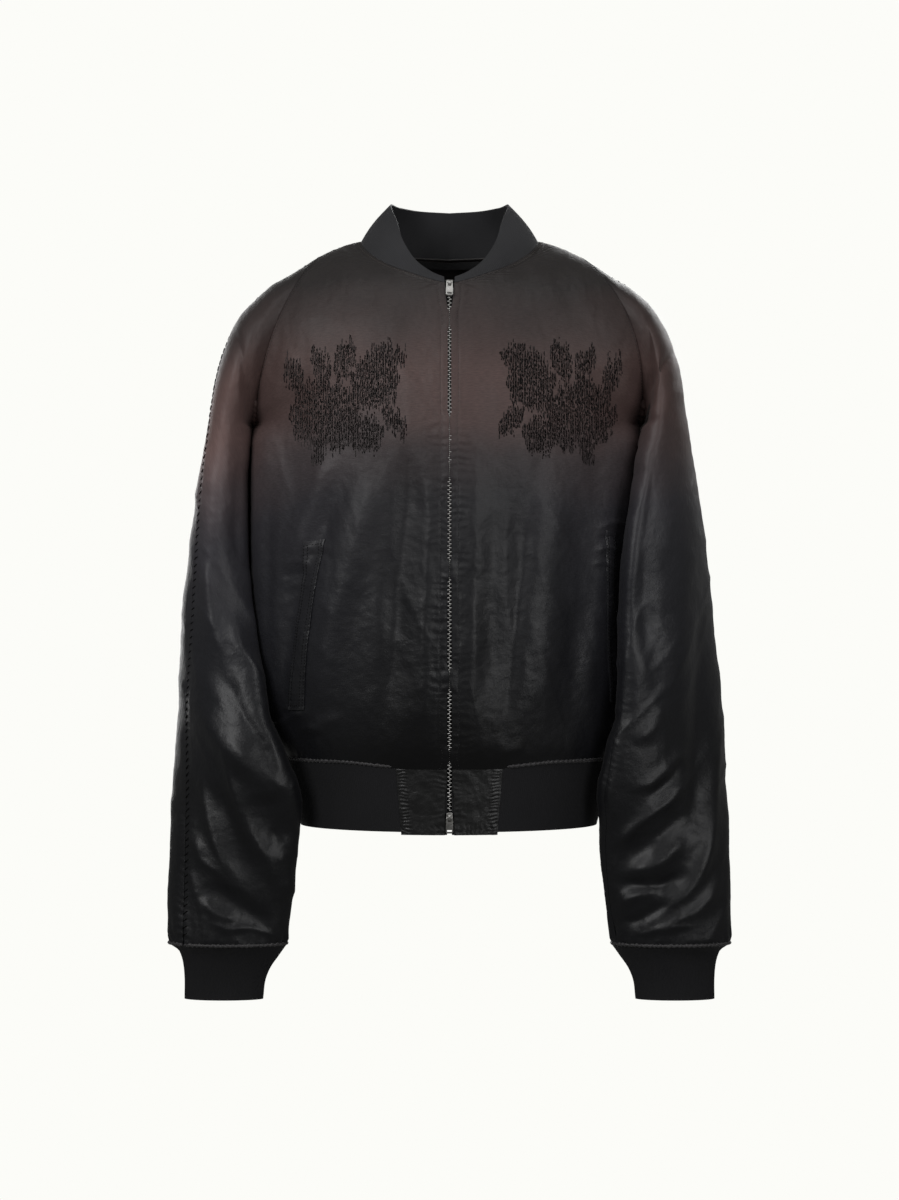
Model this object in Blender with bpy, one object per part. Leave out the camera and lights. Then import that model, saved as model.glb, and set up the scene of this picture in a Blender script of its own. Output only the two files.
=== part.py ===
"""Souvenir jacket in its worn, filled-out form: satin fronts, back and sleeves as thin walls round
their empty hollows, ribbed collar, cuffs and hem band, slanted welts and a closed two-way zip.

Metres, +Z up. The front faces -Y and the wearer's left is +X. The origin is midway between the
points where the shoulder seams meet the neck, where the wearer's shoulders hold the jacket.
"""

import math

import bmesh
import bpy
import numpy as np
from mathutils import Matrix, Vector

# Cloth
SATIN_WALL = 0.0015
RIB_WALL = 0.0022
TAPE_WALL = 0.0010
SEAM_GAP = 0.0003

# Heights of the driving levels
SHOULDER_DROP = 0.019
ARMPIT = -0.200
HEM_SEAM = -0.568
HEM_SEAM_DIP = 0.005
HEM_BOTTOM = -0.640
TAB_DROP = 0.003
FRONT_NECK = -0.0555
BACK_NECK = -0.012
SHOULDER_X = 0.145

# Mesh rows and columns of the panels
ROWS_BELOW_ARMPIT = 14
ARMHOLE_ROWS = 10
PANEL_ROWS = ROWS_BELOW_ARMPIT + ARMHOLE_ROWS
FRONT_NECK_ROW = 18
BACK_NECK_ROW = 19
PANEL_COLUMNS = 9
TAB_COLUMNS = 2
SLEEVE_RINGS = 27
COLLAR_ROWS = 4
HEM_ROWS = 4

# Height, how far the centre front and the centre back stand from the side line, and the half-width
# towards each side.
TORSO = {
    "height": (-0.568, -0.550, -0.520, -0.460, -0.380, -0.280, -0.200, -0.130, -0.080, -0.047, -0.012),
    "front": (0.127, 0.135, 0.142, 0.147, 0.148, 0.148, 0.145, 0.132, 0.113, 0.097, 0.080),
    "back": (0.112, 0.120, 0.126, 0.128, 0.126, 0.132, 0.140, 0.138, 0.122, 0.100, 0.078),
    "right": (0.182, 0.190, 0.199, 0.207, 0.213, 0.214, 0.212, 0.200, 0.180, 0.160, 0.150),
    "left": (0.180, 0.184, 0.186, 0.187, 0.190, 0.200, 0.208, 0.200, 0.180, 0.160, 0.150),
}
SIDE_Y = 0.004
SIDE_EDGE_WAY = (0.74, 0.66, -0.10)
SHOULDER_WAY = (1.0, 0.0, -0.62)
NECK_WAY = (1.0, 0.0, -0.15)
HEM_DIP_ROWS = (0.70, 0.40, 0.15)
HEM_RIB_TAPER = {"x": 0.90, "y": 0.96}

# Neck seam and collar's top edge, by the turn from the centre back (0) to the centre front (180).
NECK_SEAM = {
    "turn": (0, 30, 60, 90, 112, 135, 155, 170, 180),
    "x": (0.000, 0.050, 0.083, 0.097, 0.090, 0.067, 0.040, 0.018, 0.0052),
    "y": (0.078, 0.068, 0.038, 0.000, -0.033, -0.066, -0.086, -0.095, -0.098),
    "z": (-0.012, -0.010, -0.004, 0.000, -0.014, -0.032, -0.044, -0.052, -0.0555),
}
COLLAR_TOP = {
    "turn": (0, 30, 60, 90, 112, 135, 155, 170, 180),
    "x": (0.000, 0.033, 0.055, 0.065, 0.058, 0.049, 0.034, 0.017, 0.0056),
    "y": (0.060, 0.052, 0.030, 0.003, -0.028, -0.055, -0.075, -0.088, -0.093),
    "z": (0.039, 0.040, 0.041, 0.040, 0.020, -0.008, -0.031, -0.044, -0.049),
}
COLLAR_BULGE = 0.003
COLLAR_FULL_HEIGHT = 0.040
COLLAR_LIFT = 1.3 * SEAM_GAP
NECK_CENTRE = (0.0, -0.010, 0.0)
NECK_TAPE_TURN = 70
NECK_TAPE_POINTS = 13
NECK_TAPE_WIDTH = 0.008
NECK_TAPE_INSET = 0.0007
NECK_TAPE_SPREAD = 0.32

# Armhole, as a loop from the shoulder point round the front to the armpit and up the back.
ARMHOLE_DEPTH = 0.074
ARMHOLE_BOW = {"right": 0.012, "left": 0.022}
ARMHOLE_BACK_BOW = 0.006
ARMHOLE_WAY = (1.0, 0.0, 0.38)

# Sleeve rings from the armhole to the cuff: outer and inner point seen from the front, the middle's
# y, half the depth, and how far the inner point leads to the front of the middle.
SLEEVE_OUTER = {
    "x": (0.145, 0.172, 0.196, 0.217, 0.234, 0.247, 0.257, 0.266, 0.277, 0.287, 0.295, 0.300, 0.3025, 0.304,
          0.3045, 0.305, 0.3055, 0.3040),
    "z": (-0.019, -0.036, -0.050, -0.068, -0.090, -0.119, -0.158, -0.213, -0.276, -0.347, -0.425, -0.490,
          -0.545, -0.600, -0.650, -0.710, -0.750, -0.767),
}
SLEEVE_INNER_Z = (ARMPIT, -0.203, -0.206, -0.210, -0.215, -0.222, -0.234, -0.256, -0.296, -0.355, -0.425,
                  -0.490, -0.545, -0.600, -0.650, -0.710, -0.750, -0.767)
SLEEVE_RIGHT = {
    "inner_x": (0.212, 0.2155, 0.2175, 0.2185, 0.2185, 0.2165, 0.2125, 0.2065, 0.201, 0.194, 0.190, 0.196,
                0.186, 0.167, 0.159, 0.163, 0.1695, 0.1745),
    "middle_y": (0.000, 0.002, 0.006, 0.010, 0.014, 0.018, 0.021, 0.024, 0.025, 0.022, 0.008, -0.012,
                 -0.030, -0.040, -0.042, -0.040, -0.038, -0.038),
    "half_depth": (0.074, 0.083, 0.089, 0.093, 0.096, 0.097, 0.096, 0.094, 0.092, 0.088, 0.080, 0.068,
                   0.055, 0.045, 0.040, 0.038, 0.038, 0.037),
    "lead": (0.000, 0.000, 0.000, -0.003, -0.006, -0.012, -0.020, -0.028, -0.030, -0.024, 0.005, 0.038,
             0.050, 0.036, 0.016, 0.005, 0.000, 0.000),
}
SLEEVE_LEFT = {
    "inner_x": (0.208, 0.2105, 0.212, 0.212, 0.211, 0.208, 0.203, 0.196, 0.191, 0.184, 0.1805, 0.179,
                0.176, 0.166, 0.159, 0.1625, 0.170, 0.1745),
    "middle_y": (0.000, 0.002, 0.004, 0.006, 0.007, 0.007, 0.006, 0.002, -0.004, -0.012, -0.018, -0.024,
                 -0.030, -0.038, -0.042, -0.040, -0.038, -0.038),
    "half_depth": (0.074, 0.083, 0.089, 0.093, 0.096, 0.096, 0.094, 0.090, 0.082, 0.070, 0.060, 0.055,
                   0.051, 0.045, 0.040, 0.038, 0.038, 0.037),
    "lead": (0.000, 0.000, 0.000, 0.002, 0.006, 0.012, 0.020, 0.040, 0.055, 0.062, 0.060, 0.056,
             0.050, 0.036, 0.016, 0.005, 0.000, 0.000),
}
# Turn of the overarm and underarm seams at the cuff, towards the front.
SEAM_TURN = {"right": 0.75, "left": -0.5}
# Cuff, flared where the sleeve is gathered onto it.
CUFF = {
    "z": (-0.767, -0.773, -0.780, -0.791, -0.803, -0.8265),
    "outer_x": (0.3040, 0.2950, 0.2915, 0.2890, 0.2880, 0.2880),
    "inner_x": (0.1745, 0.1790, 0.1840, 0.1920, 0.1975, 0.2010),
    "half_depth": (0.037, 0.031, 0.027, 0.0235, 0.0215, 0.0200),
}
SLEEVE_SEAM_RADIUS = (0.080, 0.030)
SLEEVE_CLEARANCE = 0.0048
CONTACT_SOFTNESS = 0.003

# Largest folds, as soft troughs (minus) and ridges (plus) seen from the front (-1) or the back (1).
FOLD_COLUMNS = ("cloth", "face", "x0", "z0", "x1", "z1", "width", "rise")
FOLDS = (
    ("body", -1, -0.120, -0.180, -0.072, -0.545, 0.022, 0.0050),
    ("body", -1, -0.075, -0.150, -0.045, -0.520, 0.018, -0.0050),
    ("body", -1, -0.185, -0.225, -0.130, -0.420, 0.020, -0.0045),
    ("body", -1, 0.175, -0.200, 0.090, -0.330, 0.020, -0.0045),
    ("body", -1, 0.120, -0.250, 0.085, -0.540, 0.022, 0.0045),
    ("body", -1, 0.060, -0.300, 0.050, -0.550, 0.016, -0.0040),
    ("body", 1, -0.150, -0.180, -0.095, -0.500, 0.024, 0.0055),
    ("body", 1, -0.090, -0.200, -0.040, -0.540, 0.020, -0.0050),
    ("body", 1, 0.130, -0.190, 0.105, -0.520, 0.024, 0.0055),
    ("body", 1, 0.080, -0.160, 0.020, -0.480, 0.020, -0.0050),
    ("body", 1, 0.175, -0.230, 0.140, -0.420, 0.018, -0.0045),
    ("sleeve", -1, -0.243, -0.090, -0.215, -0.185, 0.014, -0.0060),
    ("sleeve", -1, 0.225, -0.080, 0.212, -0.175, 0.015, -0.0060),
    ("sleeve", -1, 0.250, -0.125, 0.216, -0.190, 0.013, -0.0050),
    ("sleeve", -1, -0.285, -0.420, -0.215, -0.600, 0.016, -0.0060),
    ("sleeve", -1, -0.290, -0.520, -0.225, -0.700, 0.015, -0.0055),
    ("sleeve", -1, -0.262, -0.400, -0.185, -0.640, 0.014, 0.0050),
    ("sleeve", -1, -0.285, -0.640, -0.205, -0.750, 0.013, -0.0050),
    ("sleeve", -1, 0.215, -0.380, 0.280, -0.560, 0.017, -0.0060),
    ("sleeve", -1, 0.195, -0.500, 0.270, -0.690, 0.016, 0.0055),
    ("sleeve", -1, 0.185, -0.600, 0.260, -0.740, 0.014, -0.0055),
    ("sleeve", 1, -0.285, -0.380, -0.215, -0.520, 0.018, -0.0060),
    ("sleeve", 1, -0.280, -0.520, -0.200, -0.690, 0.016, -0.0055),
    ("sleeve", 1, 0.285, -0.360, 0.220, -0.500, 0.018, -0.0060),
    ("sleeve", 1, 0.280, -0.520, 0.200, -0.680, 0.016, -0.0055),
)
FOLD_EDGE_FADE = 0.10

# Zip. Depths are measured inwards from the fronts' outer face.
ZIP_GAP = {
    "height": (HEM_BOTTOM - 0.01, -0.600, -0.592, -0.560, -0.300, -0.115, -0.086, FRONT_NECK),
    "half": (0.0049, 0.0049, 0.0029, 0.0028, 0.0013, 0.0013, 0.0026, 0.0052),
}
TAPE_INNER_X = 0.0025
TAPE_OUTER_X = 0.0145
TAPE_DEPTH = SATIN_WALL + SEAM_GAP
TAPE_TOP_CUT = 0.12
CHAIN_HALF_WIDTH = 0.0021
CHAIN_THICKNESS = 0.0020
CHAIN_TOP = -0.0640
CHAIN_BOTTOM = -0.6185
CHAIN_END_STEP = 0.004
SLIDER_HEIGHTS = {"top": -0.0575, "bottom": -0.6245}
SLIDER_LENGTH = 0.0105
SLIDER_WIDTH = 0.0080
SLIDER_NOSE_WIDTH = 0.0060
PLATE_PROUD = 0.0006
PLATE_THICKNESS = 0.0011
BACK_PLATE_DEPTH = 0.0044
POST_WIDTH = 0.0022
POST_SPAN = (0.45, 0.92)
CROWN_HALF_SPAN = 0.0026
CROWN_WALL = 0.0008
CROWN_INSIDE = 0.0023
CROWN_WIDTH = 0.0026
PULL_AXIS_OUT = 0.0013
PULL_BAR_RADIUS = 0.0007
PULL_LENGTH = 0.0163
PULL_WIDTH = 0.0077
PULL_NECK_WIDTH = 0.0071
PULL_NECK_LENGTH = 0.0060
PULL_CORNER = 0.0013
PULL_THICKNESS = 0.0012
PULL_SLOT_WIDTH = 0.0038
PULL_SLOT_END = 0.0041
PULL_HOLE_WIDTH = 0.0050
PULL_HOLE_HEIGHT = 0.0020
PULL_HOLE_DROP = 0.0136

# Welts, by their place on the front's grid: share from centre front to side, and share of the height.
WELT_LIFT = 0.0007
WELT_WALL = 0.0015
WELT_STEPS = 12
WELTS = {
    "right": {"top": (0.475, 0.560), "bottom": (0.590, 0.690), "heights": (0.360, 0.088)},
    "left": {"top": (0.670, 0.755), "bottom": (0.770, 0.870), "heights": (0.385, 0.100)},
}

SATIN = ("satin", (0.028, 0.026, 0.025, 1.0), 0.38, 0.0)
RIB = ("rib knit", (0.012, 0.012, 0.013, 1.0), 0.85, 0.0)
TAPE = ("zip tape", (0.010, 0.010, 0.011, 1.0), 0.8, 0.0)
DARK_METAL = ("zip teeth metal", (0.35, 0.33, 0.30, 1.0), 0.35, 1.0)
BRIGHT_METAL = ("slider metal", (0.70, 0.68, 0.66, 1.0), 0.28, 1.0)

SIDES = {"right": -1, "left": 1}
ARC_POINTS = 65
ROUND_BEND = 0.5523  # the handle length that makes a cubic curve nearly a quarter circle
FRONT, BACK = -1, 1


def clear_scene():
    for item in list(bpy.data.objects):
        bpy.data.objects.remove(item, do_unlink=True)


def smooth(keys, values, at):
    """Values of a smooth curve through the table's rows, at one key or an array of them."""
    keys = np.asarray(keys, float)
    values = np.asarray(values, float)
    if keys[0] > keys[-1]:
        keys = keys[::-1]
        values = values[::-1]
    slopes = np.gradient(values, keys)
    at = np.clip(at, keys[0], keys[-1])
    place = np.clip(np.searchsorted(keys, at, side="right") - 1, 0, len(keys) - 2)
    span = keys[place + 1] - keys[place]
    share = (at - keys[place]) / span
    rise = 3 * share**2 - 2 * share**3
    start_bend = share * (1 - share) ** 2 * span * slopes[place]
    end_bend = share**2 * (share - 1) * span * slopes[place + 1]
    return values[place] * (1 - rise) + values[place + 1] * rise + start_bend + end_bend


def soft_step(low, high, value):
    share = np.clip((value - low) / (high - low), 0, 1)
    return share * share * (3 - 2 * share)


def unit(vector):
    return vector / np.linalg.norm(vector, axis=-1, keepdims=True)


def zip_gap(z):
    return float(np.interp(z, ZIP_GAP["height"], ZIP_GAP["half"]))


def loop_point(loop, turn):
    return np.array([smooth(loop["turn"], loop[axis], turn) for axis in ("x", "y", "z")])


def armhole_point(side, angle):
    """Point of the armhole: angle 0 at the shoulder, half a turn at the armpit, then up the back."""
    armpit_x = float(smooth(TORSO["height"], TORSO[side], ARMPIT))
    top = np.array([SHOULDER_X, 0.0, -SHOULDER_DROP])
    bottom = np.array([armpit_x, SIDE_Y, ARMPIT])
    upward = unit(top - bottom)
    outward = np.array([upward[2], 0.0, -upward[0]])
    half = np.linalg.norm(top - bottom) / 2
    bow = ARMHOLE_BOW[side] if angle < math.pi else ARMHOLE_BACK_BOW
    point = (top + bottom) / 2 + upward * half * math.cos(angle)
    point[1] -= ARMHOLE_DEPTH * math.sin(angle)
    return point + outward * bow * math.sin(angle) ** 2


def quarter_arc(start, end, start_way, end_way):
    """Points of a curve like a quarter of an ellipse, from start to end along the given ways."""
    chord = end - start
    bend = 1 / 3 + (ROUND_BEND - 1 / 3) * (1 - float(start_way @ end_way))
    first = start + start_way * bend * float(chord @ start_way)
    second = end - end_way * bend * float(chord @ end_way)
    share = np.linspace(0, 1, ARC_POINTS)[:, None]
    rest = 1 - share
    return rest**3 * start + 3 * rest**2 * share * first + 3 * rest * share**2 * second + share**3 * end


def evenly(points, count):
    """The curve's points again, evenly spaced along it."""
    steps = np.r_[0, np.cumsum(np.linalg.norm(np.diff(points, axis=0), axis=1))]
    at = np.linspace(0, steps[-1], count + 1)
    return np.stack([np.interp(at, steps, points[:, axis]) for axis in range(3)], axis=1)


def hem_height(share):
    """The hem seam dips a little towards the zip."""
    return HEM_SEAM - HEM_SEAM_DIP * (1 - soft_step(0.15, 0.5, share))


def torso_row(side, face, t):
    """One row of a front or back half from its centre to the side seam or armhole; t runs 0 to 1."""
    depth_name = "front" if face == FRONT else "back"
    neck_height = FRONT_NECK if face == FRONT else BACK_NECK
    neck_share = (FRONT_NECK_ROW if face == FRONT else BACK_NECK_ROW) / PANEL_ROWS
    armpit_share = ROWS_BELOW_ARMPIT / PANEL_ROWS
    if t <= neck_share:
        z = HEM_SEAM + (neck_height - HEM_SEAM) * t / neck_share
        depth = float(smooth(TORSO["height"], TORSO[depth_name], z))
        start = np.array([zip_gap(z) if face == FRONT else 0.0, face * depth, z])
    else:
        turn_share = (t - neck_share) / (1 - neck_share)
        turn = 180 - 90 * turn_share if face == FRONT else 90 * turn_share
        start = loop_point(NECK_SEAM, turn)
    if t <= armpit_share:
        z = HEM_SEAM + (ARMPIT - HEM_SEAM) * t / armpit_share
        end = np.array([float(smooth(TORSO["height"], TORSO[side], z)), SIDE_Y, z])
        rising = 0.0
    else:
        rising = (t - armpit_share) / (1 - armpit_share)
        angle = math.pi * (1 - rising)
        end = armhole_point(side, angle if face == FRONT else 2 * math.pi - angle)
    neck_rise = soft_step(neck_share - 0.25, 1.0, t)
    start_way = unit(np.array([1.0, 0, 0]) * (1 - neck_rise) + unit(np.array(NECK_WAY)) * neck_rise)
    edge_way = np.array(SIDE_EDGE_WAY) * np.array([1, -face, 1])
    end_way = np.array([0.0, -float(face), 0.0])
    end_way = end_way + (edge_way - end_way) * soft_step(0.0, 0.55, rising)
    end_way = unit(end_way + (unit(np.array(SHOULDER_WAY)) - end_way) * soft_step(0.45, 1.0, rising))
    row = evenly(quarter_arc(start, end, start_way, end_way), PANEL_COLUMNS)
    if face == FRONT and t == 0:
        row[:, 2] = hem_height(np.linspace(0, 1, PANEL_COLUMNS + 1))
    return row


def grid_normals(grid, like):
    """Unit normals of a grid of points, turned to the side that the way or ways in like point to."""
    across = np.gradient(grid, axis=1)
    along = np.gradient(grid, axis=0)
    normals = np.cross(across, along)
    length = np.linalg.norm(normals, axis=-1, keepdims=True)
    normals = normals / np.maximum(length, 1e-12)
    return normals * np.where((normals * like).sum(axis=-1, keepdims=True) < 0, -1, 1)


def level_row(normals, row):
    """Makes a row's normals level, so that walls above and below a seam meet squarely."""
    normals[row] = unit(normals[row] * np.array([1, 1, 0]))
    return normals


def fold_rise(cloth, points, normals):
    """How far the folds move each point of a cloth out along its normal."""
    rise = np.zeros(points.shape[:-1])
    seen = points[..., [0, 2]]
    for row in FOLDS:
        fold = dict(zip(FOLD_COLUMNS, row))
        if fold["cloth"] != cloth:
            continue
        start = np.array([fold["x0"], fold["z0"]])
        run = np.array([fold["x1"], fold["z1"]]) - start
        share = np.clip(((seen - start) @ run) / (run @ run), -0.3, 1.3)
        off = np.linalg.norm(seen - (start + share[..., None] * run), axis=-1)
        taper = soft_step(-0.3, 0.35, share) * (1 - soft_step(0.65, 1.3, share))
        facing = soft_step(-0.1, 0.5, normals[..., 1] * fold["face"])
        rise += fold["rise"] * np.exp(-((off / fold["width"]) ** 2)) * taper * facing
    return rise


def torso_grid(side, face):
    """Outer points of half a front or back, rows from the hem up and columns from the centre out."""
    grid = np.stack([torso_row(side, face, row / PANEL_ROWS) for row in range(PANEL_ROWS + 1)])
    share = np.linspace(0, 1, PANEL_COLUMNS + 1)
    if face == FRONT:
        rows_above = slice(1, 1 + len(HEM_DIP_ROWS))
        grid[rows_above, :, 2] += (hem_height(share) - HEM_SEAM) * np.array(HEM_DIP_ROWS)[:, None]
    normals = grid_normals(grid, grid * np.array([1, 1, 0]) + np.array([0, 0, 0.02]))
    grid = grid * np.array([SIDES[side], 1, 1])
    normals = normals * np.array([SIDES[side], 1, 1])
    up = np.linspace(0, 1, PANEL_ROWS + 1)[:, None]
    edge = soft_step(0, FOLD_EDGE_FADE, up) * (1 - soft_step(0.62, 0.80, up))
    edge = edge * soft_step(0, FOLD_EDGE_FADE, 1 - share)
    edge = edge * (soft_step(0, FOLD_EDGE_FADE, share) if face == FRONT else 1)
    grid = grid + normals * (fold_rise("body", grid, normals) * edge)[..., None]
    return grid, normals


def sleeve_table(side):
    rows = SLEEVE_RIGHT if side == "right" else SLEEVE_LEFT
    return {**rows, "outer_x": SLEEVE_OUTER["x"], "outer_z": SLEEVE_OUTER["z"], "inner_z": SLEEVE_INNER_Z}


def sleeve_ring(side, ring, angles):
    """Points of one sleeve ring; angle 0 is the outer point, then round the front to the inner one."""
    table = sleeve_table(side)
    keys = np.arange(len(SLEEVE_INNER_Z))
    at = {name: float(smooth(keys, column, ring)) for name, column in table.items()}
    outer = np.array([at["outer_x"], 0, at["outer_z"]])
    inner = np.array([at["inner_x"], 0, at["inner_z"]])
    middle = (outer + inner) / 2 + np.array([0, at["middle_y"], 0])
    outward = (outer - inner) / 2
    cosine = np.cos(angles)[:, None]
    sine = np.sin(angles)[:, None]
    backward = np.array([0, 1.0, 0])
    points = middle + outward * cosine - backward * (at["half_depth"] * sine - at["lead"] * cosine)
    seam_share = 1 - soft_step(0, 5, ring)
    if seam_share > 0:
        edge = np.array([armhole_point(side, angle % (2 * math.pi)) for angle in angles])
        start = sleeve_plain(table, angles)
        points = points + (edge - start) * seam_share
    return points


def sleeve_plain(table, angles):
    """The first ring without the armhole's bow."""
    outer = np.array([table["outer_x"][0], table["middle_y"][0], table["outer_z"][0]])
    inner = np.array([table["inner_x"][0], table["middle_y"][0], table["inner_z"][0]])
    cosine = np.cos(angles)[:, None]
    sine = np.sin(angles)[:, None]
    depth = np.array([0, table["half_depth"][0], 0])
    return (outer + inner) / 2 + (outer - inner) / 2 * cosine - depth * sine


def clear_of_torso(side, points):
    """Moves sleeve points out to where they just clear the body's side."""
    height, back_and_front = points[..., 2], points[..., 1]
    width = smooth(TORSO["height"], TORSO[side], height)
    front = smooth(TORSO["height"], TORSO["front"], height) + SIDE_Y
    back = smooth(TORSO["height"], TORSO["back"], height) - SIDE_Y
    depth = np.where(back_and_front < SIDE_Y, front, back)
    share = np.clip(np.abs(back_and_front - SIDE_Y) / depth, 0, 1)
    below_armpit = soft_step(ARMPIT + 0.005, ARMPIT - 0.03, height)
    limit = width * np.sqrt(1 - share**2) * below_armpit + SLEEVE_CLEARANCE
    over = points[..., 0] - limit
    moved = points.copy()
    moved[..., 0] = limit + (over + np.sqrt(over**2 + CONTACT_SOFTNESS**2)) / 2
    return np.where((below_armpit > 0)[..., None], moved, points)


def sleeve_grid(side, half):
    """Outer points of a sleeve half, rows from the armhole down and columns from seam to seam."""
    last = len(SLEEVE_INNER_Z) - 1
    rings = np.linspace(0, last, SLEEVE_RINGS)
    start = 0.0 if half == "front" else math.pi
    step = math.pi / ARMHOLE_ROWS
    rows = []
    for ring in rings:
        turn = SEAM_TURN[side] * soft_step(3, last - 2, ring)
        radius = SLEEVE_SEAM_RADIUS[1] + (SLEEVE_SEAM_RADIUS[0] - SLEEVE_SEAM_RADIUS[1]) * (
            1 - soft_step(0, last, ring))
        gap = SEAM_GAP / 2 / radius
        angles = np.linspace(gap, math.pi - gap, ARMHOLE_ROWS + 1)
        angles = start + turn + np.r_[-step, angles, math.pi + step]
        rows.append(sleeve_ring(side, float(ring), angles))
    grid = clear_of_torso(side, np.stack(rows))
    around = np.linspace(0, 2 * math.pi, 25)[:-1]
    centres = np.stack([sleeve_ring(side, float(ring), around).mean(axis=0) for ring in rings])[:, None]
    normals = grid_normals(grid, grid - centres)[:, 1:-1]
    grid = grid[:, 1:-1]
    grid[0] = grid[0] + unit(np.array(ARMHOLE_WAY)) * SEAM_GAP
    mirror = np.array([SIDES[side], 1, 1])
    grid = grid * mirror
    normals = normals * mirror
    down = np.linspace(0, 1, SLEEVE_RINGS)[:, None]
    edge = soft_step(0, 0.12, down) * soft_step(0, 0.08, 1 - down)
    grid = grid + normals * (fold_rise("sleeve", grid, normals) * edge)[..., None]
    return grid, level_row(normals, -1)


def material(kind):
    name, colour, roughness, metallic = kind
    found = bpy.data.materials.get(name)
    if found:
        return found
    made = bpy.data.materials.new(name)
    made.use_nodes = True
    shader = made.node_tree.nodes["Principled BSDF"]
    shader.inputs["Base Color"].default_value = colour
    shader.inputs["Roughness"].default_value = roughness
    shader.inputs["Metallic"].default_value = metallic
    made.diffuse_color = colour
    return made


def link_object(name, mesh, kind):
    made = bpy.data.objects.new(name, mesh)
    bpy.context.scene.collection.objects.link(made)
    mesh.materials.append(material(kind))
    mesh.shade_smooth()
    mesh.set_sharp_from_angle(angle=math.radians(40))
    return made


def wall(name, patches, thickness, kind):
    """A closed wall of cloth: patches of (points, normals), joined where their points meet."""
    places = {}
    faces = {}

    def spot(point):
        return places.setdefault(tuple(np.round(point, 6)), len(places))

    def add(corners, turned):
        key = frozenset(corners)
        if key in faces:
            del faces[key]  # two patches meet here, so neither has a rim
        elif len(key) > 2:
            faces[key] = corners if turned else corners[::-1]

    for grid, normals in patches:
        rows, columns = grid.shape[:2]
        inside = grid - normals * thickness
        outer = [[spot(grid[r, c]) for c in range(columns)] for r in range(rows)]
        inner = [[spot(inside[r, c]) for c in range(columns)] for r in range(rows)]
        cell = np.cross(grid[1, 1] - grid[0, 0], grid[1, 0] - grid[0, 1])
        turned = float(cell @ normals[0, 0]) > 0
        for r in range(rows - 1):
            for c in range(columns - 1):
                corners = [(r, c), (r, c + 1), (r + 1, c + 1), (r + 1, c)]
                add([outer[i][j] for i, j in corners], turned)
                add([inner[i][j] for i, j in corners[::-1]], turned)
        border = [(0, c) for c in range(columns)]
        border += [(r, columns - 1) for r in range(1, rows)]
        border += [(rows - 1, c) for c in range(columns - 2, -1, -1)]
        border += [(r, 0) for r in range(rows - 2, 0, -1)]
        for (r, c), (next_r, next_c) in zip(border, border[1:] + border[:1]):
            add([outer[next_r][next_c], outer[r][c], inner[r][c], inner[next_r][next_c]], turned)
    mesh = bpy.data.meshes.new(name)
    mesh.from_pydata(list(places), [], [list(dict.fromkeys(corners)) for corners in faces.values()])
    mesh.validate()
    return link_object(name, mesh, kind)


def hold_seam(grid, normals, face):
    """Draws the side and shoulder seams apart by half the gap, with both walls square to it."""
    half_gap = np.array([0, face * SEAM_GAP / 2, 0])
    for seam in ((slice(0, ROWS_BELOW_ARMPIT + 1), -1), (-1, slice(None))):
        grid[seam] += half_gap
        normals[seam] = unit(normals[seam] * np.array([1, 0, 1]))
    return grid, normals


def make_panels():
    """Fronts and back. Returns their grids, which the pieces on them are made from."""
    fronts = {}
    backs = {}
    for side in SIDES:
        fronts[side] = hold_seam(*torso_grid(side, FRONT), FRONT)
        wall(f"front_{side}", [fronts[side]], SATIN_WALL, SATIN)
        backs[side] = hold_seam(*torso_grid(side, BACK), BACK)
    middle = (slice(0, BACK_NECK_ROW + 1), 0)
    (right, right_normals), (left, left_normals) = backs["right"], backs["left"]
    centre = (right[middle] + left[middle]) / 2 * np.array([0, 1, 1])
    facing = unit((right_normals[middle] + left_normals[middle]) * np.array([0, 1, 1]))
    for grid, normals in backs.values():
        grid[middle] = centre
        normals[middle] = facing
    wall("back", list(backs.values()), SATIN_WALL, SATIN)
    return fronts, backs


def make_sleeves():
    """Both halves of both sleeves. Returns each half's last row of points."""
    ends = {}
    for side in SIDES:
        for half in ("front", "back"):
            grid, normals = sleeve_grid(side, half)
            wall(f"sleeve_{side}_{half}", [(grid, normals)], SATIN_WALL, SATIN)
            ends[side, half] = grid[-1]
    return ends


def make_cuffs(sleeve_ends):
    """Tubes of rib below the sleeves, on the same columns as the sleeve's last ring."""
    for side, sign in SIDES.items():
        seam = np.concatenate([sleeve_ends[side, "front"], sleeve_ends[side, "back"]])
        size = {name: np.array(column) for name, column in CUFF.items()}
        half_width = (size["outer_x"] - size["inner_x"]) / 2
        middle_x = (size["outer_x"] + size["inner_x"]) / 2 * sign
        centre_y = (seam[:, 1].max() + seam[:, 1].min()) / 2
        rows = []
        for row, z in enumerate(size["z"]):
            ring = seam.copy()
            ring[:, 0] = middle_x[row] + (seam[:, 0] - middle_x[0]) * half_width[row] / half_width[0]
            narrowed = size["half_depth"][row] / size["half_depth"][0]
            ring[:, 1] = centre_y + (seam[:, 1] - centre_y) * narrowed
            ring[:, 2] = z - SEAM_GAP
            rows.append(ring)
        grid = np.stack(rows)
        closed = np.concatenate([grid[:, -1:], grid, grid[:, :2]], axis=1)
        around = closed - grid.mean(axis=1, keepdims=True)
        normals = level_row(grid_normals(closed, around)[:, 1:-1], 0)
        grid = closed[:, 1:-1]
        wall(f"cuff_{side}", [(grid, normals)], RIB_WALL, RIB)


def hem_row(fronts, backs, share):
    """A ring of the hem band at this share of its height, from centre front round to centre front."""
    left = np.concatenate([fronts["left"][0][0], backs["left"][0][0][-2::-1]])
    right = np.concatenate([fronts["right"][0][0], backs["right"][0][0][-2::-1]])
    ring = np.concatenate([left, right[-2::-1]])
    narrowed = [1 - (1 - HEM_RIB_TAPER[axis]) * share for axis in ("x", "y")]
    moved = ring * np.array([*narrowed, 1])
    moved[:, 2] = ring[:, 2] - SEAM_GAP + (HEM_BOTTOM + SEAM_GAP - ring[:, 2]) * share
    return moved


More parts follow.
